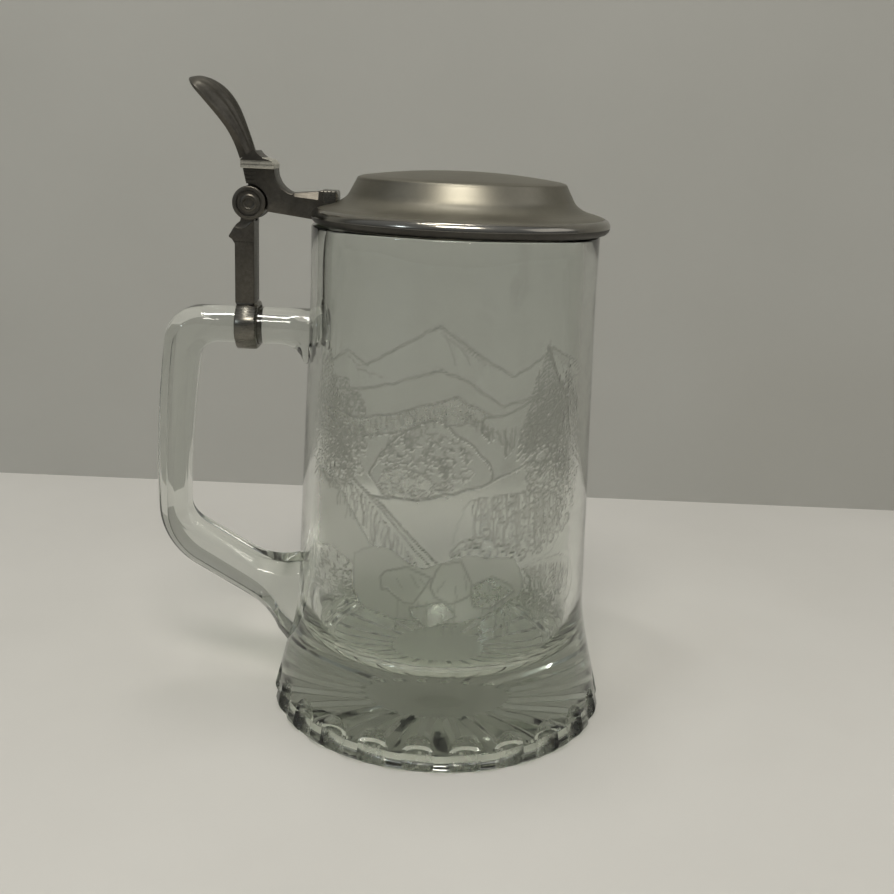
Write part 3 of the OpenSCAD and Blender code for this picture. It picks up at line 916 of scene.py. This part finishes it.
def bar_section(x, grow):
    """Section of the handle's bar at x, with its faces moved out."""
    chamfer = GRIP_CHAMFER + (2 - math.sqrt(2)) * grow
    low = BAR_Z - GRIP_T / 2 - grow
    return [(x, y, low + t) for t, y in soft_octagon(GRIP_T + 2 * grow, GRIP_W / 2 + grow, chamfer)]


def band_mesh():
    """The band round the handle, rounded along its two edges."""
    x0, x1 = BAND_LOW[0], BAND_HIGH[0]
    out = LINER_T + BAND_T
    edge = [(0, -0.6), (0.18, -0.22), (0.55, 0)]
    sides = [(x0 + x, out + sink) for x, sink in edge] + [(x1 - x, out + sink) for x, sink in edge[::-1]]
    band = sweep("handle_band_strip", [bar_section(x, grow) for x, grow in sides])
    cut(band, sweep("bore", [bar_section(x, LINER_T) for x in (x0 - 1, x1 + 1)]))
    return crease(band, 34)


def solder_mesh():
    """The soft run of solder where the post stands on the band."""
    turn = 2 * math.pi * np.arange(48) / 48
    x, y = (np.sign(side) * np.abs(side) ** 0.35 for side in (np.cos(turn), np.sin(turn)))
    rings = []
    for grow, z in [(0.3, -0.35), (0.3, -0.02), (0.18, 0.25), (0.06, 0.6), (0.0, 1.1), (-0.3, 1.1)]:
        half_x, half_y = POST_W / 2 - 0.2 + grow, POST_DEEP / 2 - 0.3 + grow
        rings.append(np.stack([POST_X + half_x * x, half_y * y, 0 * x + BAND_HIGH[2] + z], 1))
    return crease(sweep("solder_run", rings), 60)


# ---- materials


def pewter(name, dark, light, rough, worn=0.35, radial_x=None, grain=1.0, metallic=1.0):
    """Cast pewter: blotchy colour, fine scratches, small dark specks of tarnish scattered by noise and a
    pitted surface.
    """
    s = Surface(name)
    blotch = s.noise(55, 5, 0.6)
    broad = s.noise(17, 3, 0.5)
    fine = s.noise(900, 3, 0.7)
    colour = s.mix(s.spread(s.maths("ADD", blotch, broad), 0.75, 1.25), dark, light)
    colour = s.mix(s.spread(fine, 0.35, 0.75, 0.0, worn), colour, tuple(0.62 * c for c in dark))
    scratch = s.noise(260, 4, 0.65, (1, 1, 14))
    if radial_x is not None:
        scratch = s.noise(1500, 2, 0.6, (1, 1, 1), s.radial(radial_x))
    mixed = s.maths("ADD", s.maths("MULTIPLY", blotch, 0.5), s.maths("MULTIPLY", scratch, 0.5))
    s.set(Base_Color=colour, Metallic=metallic, Roughness=s.spread(mixed, 0.3, 0.7, *rough))
    height = s.maths("ADD", s.maths("MULTIPLY", scratch, 0.6), s.maths("MULTIPLY", fine, 0.4))
    s.bump(height, 0.02 * grain, 0.55)
    return s.material


# How the glass takes light away with depth, and how light its shadow is
GLASS_TINT = (0.80, 0.815, 0.78)
GLASS_DENSITY = 39.0
GLASS_SHADOW = (0.60, 0.62, 0.595)


def glass_shader():
    """Pressed glass with a grey-green tint that deepens with thickness. It is frosted where the
    picture's mask says so, with darker strokes cut into it."""
    s = Surface("pressed_glass")
    frost = s.attribute("etch")
    stroke = s.attribute("stroke")
    wave = s.noise(38, 2, 0.5)
    grain = s.noise(420, 3, 0.6)
    colour = s.mix(s.spread(frost, 0.0, 1.0, 0.0, 0.8), (0.91, 0.925, 0.905), (0.86, 0.86, 0.80))
    s.set(Base_Color=s.mix(s.spread(stroke, 0.0, 1.0, 0.0, 0.9), colour, (0.24, 0.24, 0.215)))
    rough = s.maths("MULTIPLY", frost, s.spread(grain, 0.3, 0.7, 0.40, 0.60))
    s.set(Roughness=s.maths("ADD", rough, 0.035), IOR=1.51, Transmission_Weight=1.0)
    height = s.maths("ADD", s.maths("MULTIPLY", stroke, -1.6), s.maths("MULTIPLY", frost, -0.5))
    s.bump(s.maths("ADD", height, s.maths("MULTIPLY", wave, 0.8)), 0.14, 0.7)
    s.clear_where(s.add("ShaderNodeLightPath").outputs["Is Shadow Ray"], GLASS_SHADOW)
    volume = s.node("ShaderNodeVolumeAbsorption", {"Color": GLASS_TINT, "Density": GLASS_DENSITY})
    s.link(volume, s.output.inputs["Volume"])
    return s.material


def grained(name, grain, dark, light, rough, metallic, bumps):
    """A plain material whose one grain sets its colour, roughness and bumps."""
    s = Surface(name)
    lines = s.noise(*grain)
    s.set(Base_Color=s.mix(s.spread(lines, 0.3, 0.7), dark, light), Metallic=metallic)
    s.set(Roughness=s.spread(lines, 0.3, 0.7, *rough))
    return s.bump(lines, *bumps).material


def wear(obj, *materials):
    obj.data.materials.clear()
    for material in materials:
        obj.data.materials.append(material)
    return obj


def use_slot(obj, index, chosen):
    """Gives the faces picked by chosen(centres in mm) the material with that index."""
    faces = obj.data.polygons
    indices = np.zeros(len(faces), np.int32)
    faces.foreach_get("material_index", indices)
    indices[chosen(places_of(faces, "center"))] = index
    faces.foreach_set("material_index", indices)


# ---- etched picture

# The picture is drawn on a flat sheet: u runs round the front in mm, and v is the height in mm
SHEET_SCALE = 5.0
SHEET_HALF_W = 56.0
SHEET_LOW, SHEET_HIGH = 36.0, 129.0
# The picture fades out towards this u on both sides
PICTURE_HALF_W = 48
# How matt the pressed skin is in the heel's flutes, as a share of the picture's frost
FLUTE_FROST = 0.45


class Sheet:
    """Two flat masks that shapes are drawn on: frosted areas, and the strokes cut into them."""

    SEED = 7

    def __init__(self):
        self.u = np.arange(-SHEET_HALF_W, SHEET_HALF_W, 1 / SHEET_SCALE)
        self.v = np.arange(SHEET_LOW, SHEET_HIGH, 1 / SHEET_SCALE)
        self.uu, self.vv = np.meshgrid(self.u, self.v)
        self.frost = np.zeros_like(self.uu)
        self.stroke = np.zeros_like(self.uu)
        self.rng = np.random.default_rng(self.SEED)

    def line(self, points, width=0.3, depth=0.8):
        """A stroke through points, reaching width to each side of them."""
        points = np.asarray(points, float)
        for a, b in zip(points, points[1:]):
            low, high = np.minimum(a, b) - 1, np.maximum(a, b) + 1
            cols = slice(*np.searchsorted(self.u, [low[0], high[0]]))
            rows = slice(*np.searchsorted(self.v, [low[1], high[1]]))
            uu, vv = self.uu[rows, cols], self.vv[rows, cols]
            if uu.size == 0:
                continue
            along = b - a
            t = ((uu - a[0]) * along[0] + (vv - a[1]) * along[1]) / max(along @ along, 1e-9)
            t = np.clip(t, 0, 1)
            away = np.hypot(uu - a[0] - t * along[0], vv - a[1] - t * along[1])
            ink = depth * np.clip((width - away) / 0.22 + 0.5, 0, 1)
            self.stroke[rows, cols] = np.maximum(self.stroke[rows, cols], ink)

    def rough_line(self, knots, rough=0.3, steps=12, sharp=False):
        """A line through knots with small random teeth. Sharp lines keep their corners."""
        if sharp:
            knots = np.asarray(knots, float)
            t = np.linspace(0, len(knots) - 1, (len(knots) - 1) * steps + 1)
            line = np.stack([np.interp(t, range(len(knots)), knots[:, k]) for k in (0, 1)], 1)
        else:
            line = np.array(smooth_line(knots, steps))
        jag = self.rng.normal(0, rough, (len(line), 2))
        jag = np.stack([np.convolve(jag[:, k], [0.3, 0.4, 0.3], "same") for k in (0, 1)], 1)
        return line + jag

    def inside(self, loop):
        """1 inside a closed loop and 0 outside it."""
        loop = np.asarray(loop, float)
        odd = np.zeros(self.uu.shape, bool)
        for a, b in zip(loop, np.roll(loop, -1, 0)):
            if abs(a[1] - b[1]) < 1e-9:
                continue
            spans = (a[1] > self.vv) != (b[1] > self.vv)
            odd ^= spans & (self.uu < (b[0] - a[0]) * (self.vv - a[1]) / (b[1] - a[1]) + a[0])
        return odd.astype(float)

    def area(self, loop, frost, outline=0.0, width=0.3, fade=0.0):
        """A frosted shape that hides what lies behind it. fade thins the frost downwards."""
        where = self.inside(loop)
        self.frost *= 1 - where
        self.stroke *= 1 - where
        top = np.max(np.where(where > 0, self.vv, -1e9), axis=0)[None, :]
        shade = frost * np.clip(1 - fade * (top - self.vv), 0.1, 1)
        self.frost = np.maximum(self.frost, where * shade)
        if outline:
            self.line(np.vstack([loop, loop[:1]]), width, outline)

    def land(self, ridge, low, frost, outline, rough=0.3, fade=0.0):
        """Ground below a ridge line with sharp corners, down to a level."""
        line = self.rough_line(ridge, rough, sharp=True)
        loop = np.vstack([line, [[line[-1][0], low], [line[0][0], low]]])
        self.area(loop, frost, fade=fade)
        self.line(line, 0.32, outline)

    def fir(self, u, v, height):
        """A fir tree as a trunk and drooping branches."""
        self.line([(u, v), (u, v + height)], 0.2, 0.8)
        rows = int(height / 1.3)
        for k in range(rows):
            share = k / rows
            z = v + height * (0.12 + 0.86 * share)
            reach = (1 - share) ** 0.8 * height * 0.22 + 0.4
            for side in (-1, 1):
                tip_u = u + side * reach * self.rng.uniform(0.75, 1.1)
                tip_v = z - reach * self.rng.uniform(0.4, 0.7)
                bend = ((u + tip_u) / 2, (z + tip_v) / 2 + 0.15 * reach)
                self.line([(u, z), bend, (tip_u, tip_v)], 0.24, 0.85)

    def leaves(self, u, v, half_u, half_v, count, size=1.2):
        """Foliage of small open curls."""
        for _ in range(count):
            turn, far = self.rng.uniform(0, 2 * math.pi), math.sqrt(self.rng.uniform(0, 1))
            cu, cv = u + half_u * far * math.cos(turn), v + half_v * far * math.sin(turn)
            r = size * self.rng.uniform(0.45, 1.1)
            start = self.rng.uniform(0, 360)
            curl = np.array(arc(0, 0, r, start, start + self.rng.uniform(90, 230), 7))
            self.line(curl * [1.0, 0.8] + [cu, cv], 0.24, self.rng.uniform(0.45, 0.9))

    def hatch(self, top, drop, count):
        """Wavy strokes hanging from a line."""
        top = np.asarray(top, float)
        for share in np.linspace(0, len(top) - 1, count):
            u, v = (np.interp(share, range(len(top)), top[:, k]) for k in (0, 1))
            length = drop * self.rng.uniform(0.4, 1.0)
            lean = self.rng.uniform(-0.6, 1.6)
            knots = [(u + lean * t + self.rng.uniform(-0.5, 0.5), v - length * t)
                     for t in np.linspace(0, 1, 5)]
            stroke = self.rough_line(knots, 0.12, 4)
            self.line(stroke, self.rng.uniform(0.2, 0.42), self.rng.uniform(0.5, 0.9))

    @staticmethod
    def oval(u, v, half_u, half_v, turn, stretch):
        """Points of an oval at the given angles, each moved in or out by its stretch."""
        return np.stack([u + half_u * stretch * np.cos(turn), v + half_v * stretch * np.sin(turn)], 1)

    def bush(self, u, v, half_u, half_v, lobes, frost, count, outline=0.8):
        """A bush or wooded knoll with a scalloped edge, filled with foliage."""
        turn = np.linspace(0, 2 * math.pi, 120, endpoint=False)
        wave = 1 + 0.10 * np.abs(np.sin(lobes * turn / 2 + self.rng.uniform(0, 3)))
        wave += 0.04 * np.sin(3 * turn + self.rng.uniform(0, 6))
        loop = self.oval(u, v, half_u, half_v, turn, wave)
        self.area(loop, frost, outline, 0.28)
        self.leaves(u, v, half_u * 0.92, half_v * 0.92, count)

    def boulder(self, u, v, half_u, half_v, frost):
        """A rock with a faceted outline and a few cracks."""
        turn = np.sort(self.rng.uniform(0, 2 * math.pi, 9))
        stretch = self.rng.uniform(0.85, 1.1, 9)
        loop = self.oval(u, v, half_u, half_v, turn, stretch)
        loop = self.rough_line(np.vstack([loop, loop[:1]]), 0.08, 6, sharp=True)
        self.area(loop, frost, 0.75, 0.3)
        for _ in range(3):
            size = np.array([half_u, half_v])
            a = [u, v] + size * [self.rng.uniform(-0.5, 0.5), self.rng.uniform(-0.2, 0.7)]
            step = size * [self.rng.uniform(-0.4, 0.4), -self.rng.uniform(0.3, 0.8)]
            self.line(self.rough_line([a, a + step / 2, a + step], 0.2, 4), 0.2, 0.5)


def way(*numbers):
    """Pairs up numbers into points."""
    return list(zip(numbers[::2], numbers[1::2]))


def alpine_picture():
    """An upland view made up for this part: peaks, slopes, woods, a path and a rocky bank."""
    s = Sheet()
    # Peaks, each with three lines running down its lit side
    s.land(way(-48, 110, -39, 112, -31, 117, -24, 114, -17, 118, -8, 123.5, -3, 126.2, 4, 121.5, 12, 116,
               18, 113, 24, 116, 31, 120, 37, 117, 48, 112), 100, 0.0, 0.7, 0.2)
    for u, v, drop in [(-31, 117, 6), (-3, 126.2, 10), (31, 120, 7)]:
        for k in range(3):
            ridge = [(u + 0.5 + 2 * k, v - 1.5 - 1.6 * k), (u + 3 + 3 * k, v - 0.5 * drop - k),
                     (u + 4.5 + 4 * k, v - drop)]
            s.line(s.rough_line(ridge, 0.15, 5), 0.22, 0.35)
    # Hills, far to near
    s.land(way(-48, 103, -34, 106, -22, 108, -10, 112, -2, 114.5, 6, 111, 15, 105, 24, 107, 34, 110,
               48, 106), 90, 0.3, 0.7, fade=0.03)
    s.land(way(-48, 99, -36, 100, -26, 99, -14, 102, 2, 107.5, 9, 104, 18, 98.5, 28, 100, 48, 104),
           84, 0.5, 0.8, fade=0.02)
    s.land(way(-48, 92, -30, 93, -12, 97, 8, 101, 18, 103.5, 28, 108, 48, 113), 80, 0.3, 0.75, fade=0.03)
    # Wooded knoll and the meadow before it
    knoll = way(-22, 84, -17, 92, -10, 98, -3, 101, 3, 97, 9, 92, 13, 86, 9, 80, -2, 77, -14, 77, -22, 84)
    s.area(s.rough_line(knoll, 0.25, 8), 0.15, 0.85, 0.34)
    s.leaves(-6, 89, 13, 9, 190, 1.3)
    s.bush(-11, 82, 7, 4.5, 9, 0.45, 40, 0.6)
    s.land(way(-48, 78, -32, 79, -18, 77.5, -6, 78.5, 10, 83, 24, 89, 48, 85), 60, 0.42, 0.85, fade=0.015)
    # Slope on the left with the path down it
    s.area(way(-48, 84, -34, 79, -24, 72, -17, 62, -13, 55, -48, 50), 0.7, 0.8, 0.32)
    s.area(way(-36, 82, -30, 84, -17, 74, -6, 63, 0, 57, -6, 54, -14, 56, -22, 66), 0.3, 0.7, 0.3)
    s.line(way(-34, 85, -17, 75.5, -5, 64.5, 3, 57), 0.3, 0.85)
    s.hatch(way(-34, 82, -26, 79, -16, 71, -7, 61), 11, 26)
    # Thicket on the right
    thicket = way(5, 76, 9, 79, 16, 77, 24, 81, 33, 78, 37, 70, 34, 62, 26, 60, 18, 57, 9, 62, 3, 67, 5, 76)
    s.area(s.rough_line(thicket, 0.5), 0.3, 0.3, 0.26)
    s.hatch(way(8, 79, 17, 80, 26, 80, 35, 78), 17, 34)
    s.leaves(22, 70, 13, 9, 120, 1.6)
    s.bush(9, 64, 6, 4, 8, 0.35, 24, 0.7)
    # Woods at both sides and along the hills' feet
    s.leaves(35, 88, 11, 22, 420, 1.5)
    s.leaves(-34, 93, 11, 16, 330, 1.5)
    s.hatch(way(-24, 98, -10, 103, 4, 104, 12, 99), 5, 26)
    s.hatch(way(14, 98, 24, 99, 32, 101), 8, 16)
    for u, v, height in [(-43, 90, 20), (-39, 84, 34), (-34.5, 82, 24), (-30.5, 86, 16), (-41.5, 78, 18),
                         (26, 92, 22), (29.5, 88, 34), (34, 84, 28), (38, 86, 30), (42, 84, 24),
                         (23, 90, 14)]:
        s.fir(u, v, height)
    s.line(s.rough_line(way(29, 120, 33, 112, 38, 104, 40, 92, 39, 80), 0.3), 0.5, 0.85)
    # Rocky bank in front
    bank = way(-26, 60, -16, 64, -6, 59, 6, 63, 20, 61, 23, 52, 12, 45, -6, 43, -24, 47, -26, 60)
    s.area(s.rough_line(bank, 0.5), 0.8, 0.4, 0.24)
    for rock in [(-9, 54, 7.5, 5, 0.6), (3, 55, 6.5, 6.5, 0.85), (14, 52, 7, 5, 0.5), (-2, 46, 6, 4, 0.4)]:
        s.boulder(*rock)
    s.area(way(-44, 58, -34, 60, -26, 57, -25, 47, -33, 45, -44, 46), 0.4, 0.5, 0.26)
    s.leaves(-34, 52, 9, 7, 60)
    scrub = way(23, 58, 31, 60, 42, 57, 45, 49, 41, 43, 31, 41, 24, 47, 23, 58)
    s.area(s.rough_line(scrub, 0.4), 0.4, 0.5, 0.26)
    s.hatch(way(24, 58, 31, 58, 42, 55), 10, 16)
    s.leaves(33, 50, 9, 7, 70)
    for _ in range(9):
        u = s.rng.uniform(-20, 20)
        blade = [(u, 39), (u + s.rng.uniform(-1, 1), 44), (u + s.rng.uniform(-2, 2), 49)]
        s.line(s.rough_line(blade, 0.15, 4), 0.2, 0.5)
    return s


def in_flutes(r, z):
    """True at points in the heel's flutes."""
    heights = np.linspace(0.5, 10.5, 60)
    sunk = np.interp(z, heights, [outer_r(h) for h in heights]) - r
    return (sunk > 0.08) & (r > FOOT_R + 0.5) & (z > 0.8) & (z < 10)


def etch(glass_obj):
    """Paints the picture's two masks on the glass, one value each per point, faded at the sides."""
    s = alpine_picture()
    places = places_of(glass_obj.data.vertices, "co")
    r = np.hypot(places[:, 0], places[:, 1])
    turn = np.arctan2(places[:, 0], -places[:, 1])
    u, v = turn * (RIM_R + 1.0), places[:, 2]
    column = np.clip((u - s.u[0]) * SHEET_SCALE, 0, len(s.u) - 1.001)
    row = np.clip((v - s.v[0]) * SHEET_SCALE, 0, len(s.v) - 1.001)
    i, j = row.astype(int), column.astype(int)
    fi, fj = row - i, column - j
    side = np.clip((PICTURE_HALF_W - np.abs(u)) / 10, 0, 1) * np.clip((v - ETCH_LOW_Z) / 8, 0, 1)
    outside = (r > RIM_R - 1.2) & (v > ETCH_LOW_Z + 0.6) & (v < ETCH_HIGH_Z - 0.6)
    for name, m, matt in (("etch", s.frost, FLUTE_FROST), ("stroke", s.stroke, 0)):
        value = (m[i, j] * (1 - fi) * (1 - fj) + m[i + 1, j] * fi * (1 - fj)
                 + m[i, j + 1] * (1 - fi) * fj + m[i + 1, j + 1] * fi * fj)
        paint(glass_obj, name, np.maximum(value * side * outside, matt * in_flutes(r, v)))


# ---- stage

# The camera that was fitted to the photo's outlines: place in metres, angles in degrees
CAMERA_PLACE = (-0.000133, -0.33557, 0.173552)
CAMERA_DOWN, CAMERA_TURN, CAMERA_ROLL = 15.249, 0.044, 2.4465
CAMERA_LENS = 45.533


def camera():
    """The photo's viewpoint: a little above the rim, looking down, tipped by a small roll."""
    data = bpy.data.cameras.new("camera")
    data.sensor_width = 36
    data.lens = CAMERA_LENS
    data.clip_start = 0.01
    obj = add_to_scene("camera", data)
    look = Matrix()
    for angle, axis in ((-CAMERA_TURN, "Z"), (90 - CAMERA_DOWN, "X"), (CAMERA_ROLL, "Z")):
        look = look @ Matrix.Rotation(math.radians(angle), 4, axis)
    look.translation = CAMERA_PLACE
    obj.matrix_world = look
    bpy.context.scene.camera = obj


def flat_surface(name, low, high, rough):
    """A plain painted surface with faint unevenness."""
    s = Surface(name)
    broad = s.noise(9, 4, 0.5)
    s.set(Base_Color=s.mix(s.spread(broad, 0.3, 0.7), low, high), Roughness=rough)
    return s.set(Specular_IOR_Level=0.25)


def sheet_object(name, corners, surface):
    obj = new_object(name, corners, [[0, 1, 2, 3]])
    wear(obj, surface.material)
    obj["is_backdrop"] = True


def area_light(name, place, aim, size, power, colour):
    """A rectangular light. Places and sizes are in metres and the power is in watts."""
    data = bpy.data.lights.new(name, "AREA")
    data.shape = "RECTANGLE"
    data.size, data.size_y = size
    data.energy = power
    data.color = colour
    obj = add_to_scene(name, data)
    obj.location = place
    direction = Vector(aim) - obj.location
    obj.rotation_euler = direction.to_track_quat("-Z", "Y").to_euler()


# The floor lies this far (mm) below the glass foot, so that the two faces do not coincide
FLOOR_DROP = 0.05
WALL_Y, WALL_TOP_Z = 215.0, 1800
STAGE_HALF_W, FLOOR_FRONT_Y, FLOOR_REAR_Y = 2500, -1500, 2500
# Room light, from the floor up to overhead, as brightness at the sine of the height angle
ROOM_GLOW = [(0.0, 0.10), (0.5, 0.16), (0.62, 0.28), (0.8, 0.42), (1.0, 0.50)]
ROOM_STRENGTH = 0.72


def room():
    """A plain grey room that is darker low down in front and brighter overhead."""
    world = bpy.data.worlds.new("room")
    bpy.context.scene.world = world
    world.use_nodes = True
    tree = world.node_tree
    place = tree.nodes.new("ShaderNodeTexCoord")
    split = tree.nodes.new("ShaderNodeSeparateXYZ")
    ramp = tree.nodes.new("ShaderNodeValToRGB")
    scale = tree.nodes.new("ShaderNodeMapRange")
    scale.inputs["From Min"].default_value = -1
    tree.links.new(place.outputs["Generated"], split.inputs[0])
    tree.links.new(split.outputs[2], scale.inputs["Value"])
    tree.links.new(scale.outputs[0], ramp.inputs[0])
    stops = ramp.color_ramp.elements
    while len(stops) < len(ROOM_GLOW):
        stops.new(0.5)
    for stop, (height, glow) in zip(stops, ROOM_GLOW):
        stop.position = height
        stop.color = (glow * 0.97, glow, glow * 1.02, 1)
    background = tree.nodes["Background"]
    tree.links.new(ramp.outputs[0], background.inputs[0])
    background.inputs[1].default_value = ROOM_STRENGTH


def stage():
    """The floor and the backdrop, the room and its lights."""
    floor = flat_surface("floor_paint", (0.60, 0.585, 0.55), (0.64, 0.625, 0.59), 0.55)
    wall = flat_surface("wall_paint", (0.40, 0.395, 0.365), (0.42, 0.415, 0.385), 0.85)
    # The backdrop can be looked through from behind, so that the object can be seen from there
    wall.clear_where(wall.add("ShaderNodeNewGeometry").outputs["Backfacing"], (1.0, 1.0, 1.0))
    w, front, rear, low = STAGE_HALF_W, FLOOR_FRONT_Y, FLOOR_REAR_Y, -FLOOR_DROP
    sheet_object("floor", [(-w, front, low), (w, front, low), (w, rear, low), (-w, rear, low)], floor)
    sheet_object("backdrop", [(-w, WALL_Y, low), (w, WALL_Y, low), (w, WALL_Y, WALL_TOP_Z),
                              (-w, WALL_Y, WALL_TOP_Z)], wall)
    room()
    area_light("key_light", (-0.03, -0.62, 0.93), (0, 0, 0.1), (0.42, 0.2), 5.6, (1.0, 0.96, 0.88))
    # Stands where the bar's upper chamfer mirrors it to the camera
    area_light("left_strip", (-0.236, -0.168, 1.088), (-0.06, 0, 0.12), (0.18, 0.05), 0.9, (1.0, 0.98, 0.92))
    area_light("right_fill", (1.3, -0.3, 0.9), (0, 0.02, 0.05), (1.0, 0.8), 1.8, (1.0, 0.98, 0.94))
    area_light("ceiling", (-0.05, 0.13, 1.1), (-0.05, 0, 0.15), (0.22, 0.16), 1.3, (1.0, 0.98, 0.93))
    area_light("window", (-0.9, -0.9, 0.55), (0, 0, 0.1), (0.12, 0.2), 1.2, (0.78, 0.90, 1.0))
    bpy.context.scene.view_settings.view_transform = "Standard"


# ---- assembly


def from_lid_axis(centres):
    return np.hypot(centres[:, 0] - LID_X, centres[:, 1])


def dress():
    """Makes every piece, and says which body it rides on and which CAD nodes it stands for."""
    satin = pewter("satin_pewter", (0.19, 0.178, 0.143), (0.27, 0.255, 0.21), (0.37, 0.47), 0.12, LID_X)
    bright = pewter("polished_pewter", (0.26, 0.245, 0.215), (0.34, 0.325, 0.29), (0.12, 0.22), 0.15)
    # A dark pewter used only as painted shade on the lid brim's lower face.
    shaded_brim = pewter("brim_painted_shade_pewter", (0.060, 0.056, 0.050), (0.10, 0.095, 0.085), (0.35, 0.5), 0.3)
    cast = pewter("oxidised_pewter", (0.070, 0.064, 0.054), (0.135, 0.126, 0.108), (0.30, 0.46), 0.5, grain=2)
    # The band's and the solder's own worn pewter, also used on the arm's end tab as a painted highlight.
    rubbed_and_sheen = pewter("rubbed_and_sheen_pewter", (0.12, 0.112, 0.096), (0.22, 0.21, 0.18), (0.2, 0.34), 0.4, grain=1.5)
    # A light, half-metallic pewter put on the thumblift's collar as a painted highlight.
    collar_sheen = pewter("collar_painted_sheen_pewter", (0.42, 0.40, 0.34), (0.66, 0.64, 0.55), (0.22, 0.36), 0.5, metallic=0.6)

    def place(obj, body, slot, nodes, *materials):
        wear(obj, *materials)
        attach(obj, body)
        if nodes:
            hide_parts(*nodes)
        return obj

    glass_obj = stein_glass()
    etch(glass_obj)
    place(glass_obj, "mug", "clear_glass", ["glass_body", "glass_handle"], glass_shader())
    lid = place(lid_mesh(), "lid", "pewter", ["lid"], satin, bright, shaded_brim)
    use_slot(lid, 1, lambda c: (c[:, 2] < SEAT_Z + BRIGHT_H) & (from_lid_axis(c) > BRIM_R - BRIGHT_W))
    # The brim's lower face gets the darker pewter: painted shade, for the dark floor that the brim mirrors
    # there.
    use_slot(lid, 2, lambda c: (c[:, 2] < SEAT_Z + BRIM_SHADE_H) & (from_lid_axis(c) > RING_R))
    arm = place(arm_mesh(), "lid", "dark_pewter", ["lid_arm"], cast, rubbed_and_sheen)
    # Painted highlight: the end tab on the lid gets the lighter pewter.
    use_slot(arm, 1, lambda c: c[:, 0] > TAB_SHEEN_FROM_X)
    thumb = place(thumblift_mesh(), "lid", "pewter", ["thumblift"], cast, collar_sheen)
    # Painted highlight on the collar.
    use_slot(thumb, 1, lambda c: c[:, 2] < COLLAR_SHEEN_TO_Z)
    place(post_mesh(), "mug", "dark_pewter", ["hinge_post"], cast)
    place(solder_mesh(), "mug", "dark_pewter", [], rubbed_and_sheen)
    place(band_mesh(), "mug", "pewter", ["handle_band"], rubbed_and_sheen)
    place(cap_mesh("hinge_cap_front_disc", -1), "mug", "dark_pewter", ["hinge_cap_front"], cast)
    place(cap_mesh("hinge_cap_rear_disc", 1), "mug", "dark_pewter", ["hinge_cap_rear"], cast)
    fibre = grained("pressed_fibre", (700, 3, 0.7, (1, 0.35, 0.35)), (0.045, 0.038, 0.03),
                    (0.13, 0.11, 0.085), (0.75, 0.95), 0.0, (0.1, 0.8))
    steel = grained("drawn_steel", (900, 3, 0.6, (1, 0.03, 1)), (0.42, 0.42, 0.43),
                    (0.62, 0.62, 0.63), (0.2, 0.36), 1.0, (0.02, 0.5))
    wear(frame["nodes"]["band_liner"], fibre)
    wear(frame["nodes"]["hinge_pin"], steel)


def size_now():
    bpy.context.view_layer.update()
    return [list(corner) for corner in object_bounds()]


before = size_now()
dress()
camera()
stage()
{"after_load": before, "before_finish": size_now()}
